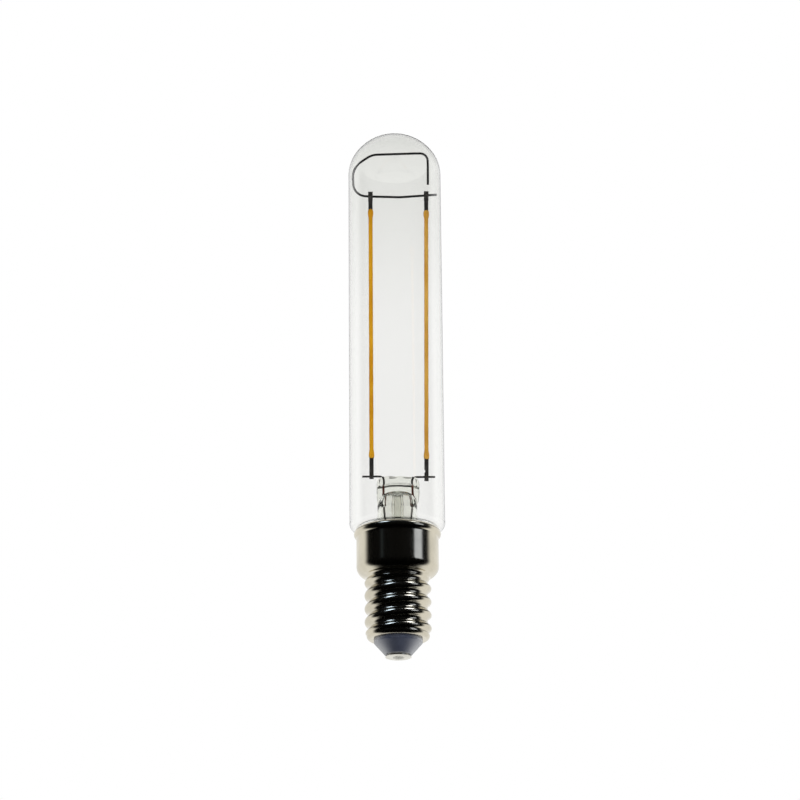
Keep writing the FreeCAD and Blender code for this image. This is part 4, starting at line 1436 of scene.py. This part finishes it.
class LAMP_OT_stage(bpy.types.Operator):
    """Set the camera, the soft lamps, the room and the pale floor"""
    bl_idname = "lamp.stage"
    bl_label = "Stage"

    def execute(self, context):
        sizes = context.scene.lamp_stage
        scene = context.scene
        scene.view_settings.view_transform = "Standard"
        self.camera(scene, sizes)
        self.room(scene, sizes)
        self.floor(sizes)
        self.cap_lamps(scene)
        self.fill_lamps()
        return {"FINISHED"}

    def cap_lamps(self, scene):
        """Cool soft lamps that light the cap alone. Each has its azimuth, height and distance, its
        own width and height, its radiance and its colour."""
        cap = bpy.data.collections.new("cap")
        pieces = ("screw_shell", "contact_plate", "contact_solder", "cap_insulator")
        for obj in scene.objects:
            if obj.name.startswith(pieces):
                cap.objects.link(obj)
        lamps = (
            softbox("right_softbox", 60, 0.16, 0.60, 0.25, 0.22, 0.95, (0.76, 0.83, 1.0)),
            softbox("right_lamp", 60, 0.66, 0.38, 0.22, 0.34, 5.0, (0.86, 0.90, 1.0)),
            softbox("left_lamp", -45, 0.60, 0.38, 0.20, 0.34, 3.6, (0.58, 0.74, 1.0)),
            softbox("left_strip", -44, 0.16, 0.60, 0.07, 0.20, 0.03, (0.62, 0.80, 1.0)),
        )
        for lamp in lamps:
            lamp.light_linking.receiver_collection = cap

    def fill_lamps(self):
        """Wide plain light on the whole lamp, which metal and glass don't mirror."""
        height = 0.10
        distance = 0.62
        size = 0.5
        aim = 0.06
        white = (1.0, 1.0, 1.0)
        for name, azimuth, radiance in (("front_fill", -8, 3.8), ("side_fill", 70, 1.5)):
            fill = softbox(name, azimuth, height, distance, size, size, radiance, white, aim)
            fill.visible_glossy = False
            fill.visible_transmission = False

    def camera(self, scene, sizes):
        """The camera on the front side, aimed at a point near the lamp's axis."""
        data = bpy.data.cameras.new("camera")
        data.lens = sizes.lens
        data.sensor_width = 36.0
        data.clip_start = 0.01
        data.clip_end = 50.0
        camera = bpy.data.objects.new("camera", data)
        flat = sizes.distance * math.cos(sizes.elevation)
        rise = sizes.distance * math.sin(sizes.elevation)
        camera.location = (sizes.aim_across, -flat, sizes.aim_height + rise)
        turn_up = Euler((math.pi / 2 - sizes.elevation, 0, 0)).to_matrix().to_4x4()
        tilt = turn_up @ Matrix.Rotation(sizes.roll, 4, "Z")
        camera.rotation_euler = tilt.to_euler()
        scene.collection.objects.link(camera)
        scene.camera = camera

    def room(self, scene, sizes):
        """White for the eye and through the glass. The metal mirrors a white back and a dark front,
        and light that has turned inside the lamp finds the front dark too."""
        glass_crossings = 5.5
        turn_weight = 10.0
        world = bpy.data.worlds.new("room")
        scene.world = world
        world.use_nodes = True
        tree = world.node_tree
        tree.nodes.clear()
        where = add(tree, "ShaderNodeTexCoord")
        parts = add(tree, "ShaderNodeSeparateXYZ", {0: where.outputs["Generated"]})
        level = Flow(tree, parts.outputs["Z"])
        beside = Flow(tree, parts.outputs["X"]).math("ABSOLUTE").eased(0.06, 0.20)
        back = Flow(tree, parts.outputs["Y"]).eased(-0.02, 0.30)
        back = back * level.eased(0.62, 0.36) * level.eased(-0.90, -0.72)
        back = back * beside.math("MAXIMUM", level.eased(0.40, 0.30))
        behind = Flow(tree, parts.outputs["Y"]).eased(0.0, 0.5)
        path = add(tree, "ShaderNodeLightPath")

        def light(strength):
            return add(tree, "ShaderNodeBackground", {
                "Color": (1.0, 1.0, 1.0, 1.0), "Strength": strength,
            })

        def choose(name, without, within):
            return add(tree, "ShaderNodeMixShader", {
                0: path.outputs[name], 1: without.outputs[0], 2: within.outputs[0],
            })

        turns = Flow(tree, path.outputs["Glossy Depth"]) + path.outputs["Diffuse Depth"]
        crossings = turns * turn_weight + path.outputs["Transmission Depth"]
        plain_view = crossings.math("LESS_THAN", glass_crossings)
        through = light((behind * (1.0 - sizes.depth) + sizes.depth).math("MAXIMUM", plain_view))
        mirrored = light(back * (1.0 - sizes.room) + sizes.room)
        in_glass = light(back * sizes.glass_back)
        shiny = choose("Is Singular Ray", mirrored, in_glass)
        whole = choose("Is Glossy Ray", light(sizes.fill), shiny)
        whole = choose("Is Transmission Ray", whole, through)
        whole = choose("Is Camera Ray", whole, light(1.0))
        output = add(tree, "ShaderNodeOutputWorld", {"Surface": whole.outputs[0]})
        tree.nodes.active = output

    def floor(self, sizes):
        """A pale disc far below, which fades into the white of the room."""
        disc_radius = 3.0
        fade_start = 0.25
        fade_end = 1.1
        mesh = bpy.data.meshes.new("floor")
        work = bmesh.new()
        bmesh.ops.create_circle(work, cap_ends=True, segments=96, radius=disc_radius)
        work.to_mesh(mesh)
        work.free()
        mesh.transform(Matrix.Translation((0, 0, sizes.floor_height)))
        floor = bpy.data.objects.new("floor", mesh)
        bpy.context.scene.collection.objects.link(floor)
        material, tree, shader = base_material(
            "floor_white", roughness=0.9, base_color=(0.86, 0.86, 0.86, 1.0)
        )
        where = add(tree, "ShaderNodeTexCoord")
        flat = add(tree, "ShaderNodeVectorMath", {
            0: where.outputs["Object"], 1: (1, 1, 0),
        }, operation="MULTIPLY")
        away = add(tree, "ShaderNodeVectorMath", {0: flat.outputs[0]}, operation="LENGTH")
        fade = Flow(tree, away.outputs["Value"]).eased(fade_start, fade_end)
        path = add(tree, "ShaderNodeLightPath")
        seen = Flow(tree, path.outputs["Is Camera Ray"])
        seen = seen.math("MAXIMUM", path.outputs["Is Transmission Ray"])
        glow = add(tree, "ShaderNodeEmission", {"Color": (1.0, 1.0, 1.0, 1.0), "Strength": 1.0})
        mix = add(tree, "ShaderNodeMixShader", {
            0: fade * seen, 1: shader.outputs[0], 2: glow.outputs[0],
        })
        feed(tree, tree.nodes["Material Output"].inputs["Surface"], mix.outputs[0])
        mesh.materials.append(material)
        floor.visible_glossy = False


OPERATORS = (
    LAMP_OT_glass_envelope,
    LAMP_OT_stem,
    LAMP_OT_wires,
    LAMP_OT_filaments,
    LAMP_OT_screw_shell,
    LAMP_OT_cap_end,
    LAMP_OT_driver,
    LAMP_OT_stage,
)


class LAMP_PT_panel(bpy.types.Panel):
    """Lists the lamp's pieces and their sizes"""
    bl_idname = "LAMP_PT_panel"
    bl_label = "Tubular Lamp"
    bl_space_type = "VIEW_3D"
    bl_region_type = "UI"
    bl_category = "Lamp"

    def draw(self, context):
        for operator in OPERATORS:
            self.layout.operator(operator.bl_idname)
        for name in GROUPS:
            box = self.layout.box()
            settings = getattr(context.scene, name)
            for prop in settings.bl_rna.properties:
                if not prop.is_readonly and prop.identifier != "name":
                    box.prop(settings, prop.identifier)


def register():
    for name, group in GROUPS.items():
        bpy.utils.register_class(group)
        setattr(bpy.types.Scene, name, PointerProperty(type=group))
    for operator in OPERATORS:
        bpy.utils.register_class(operator)
    bpy.utils.register_class(LAMP_PT_panel)


def unregister():
    bpy.utils.unregister_class(LAMP_PT_panel)
    for operator in reversed(OPERATORS):
        bpy.utils.unregister_class(operator)
    for name, group in GROUPS.items():
        delattr(bpy.types.Scene, name)
        bpy.utils.unregister_class(group)


def main():
    """Builds every piece and the stage."""
    register()
    for operator in OPERATORS:
        group, name = operator.bl_idname.split(".")
        getattr(getattr(bpy.ops, group), name)()


if __name__ == "__main__":
    main()
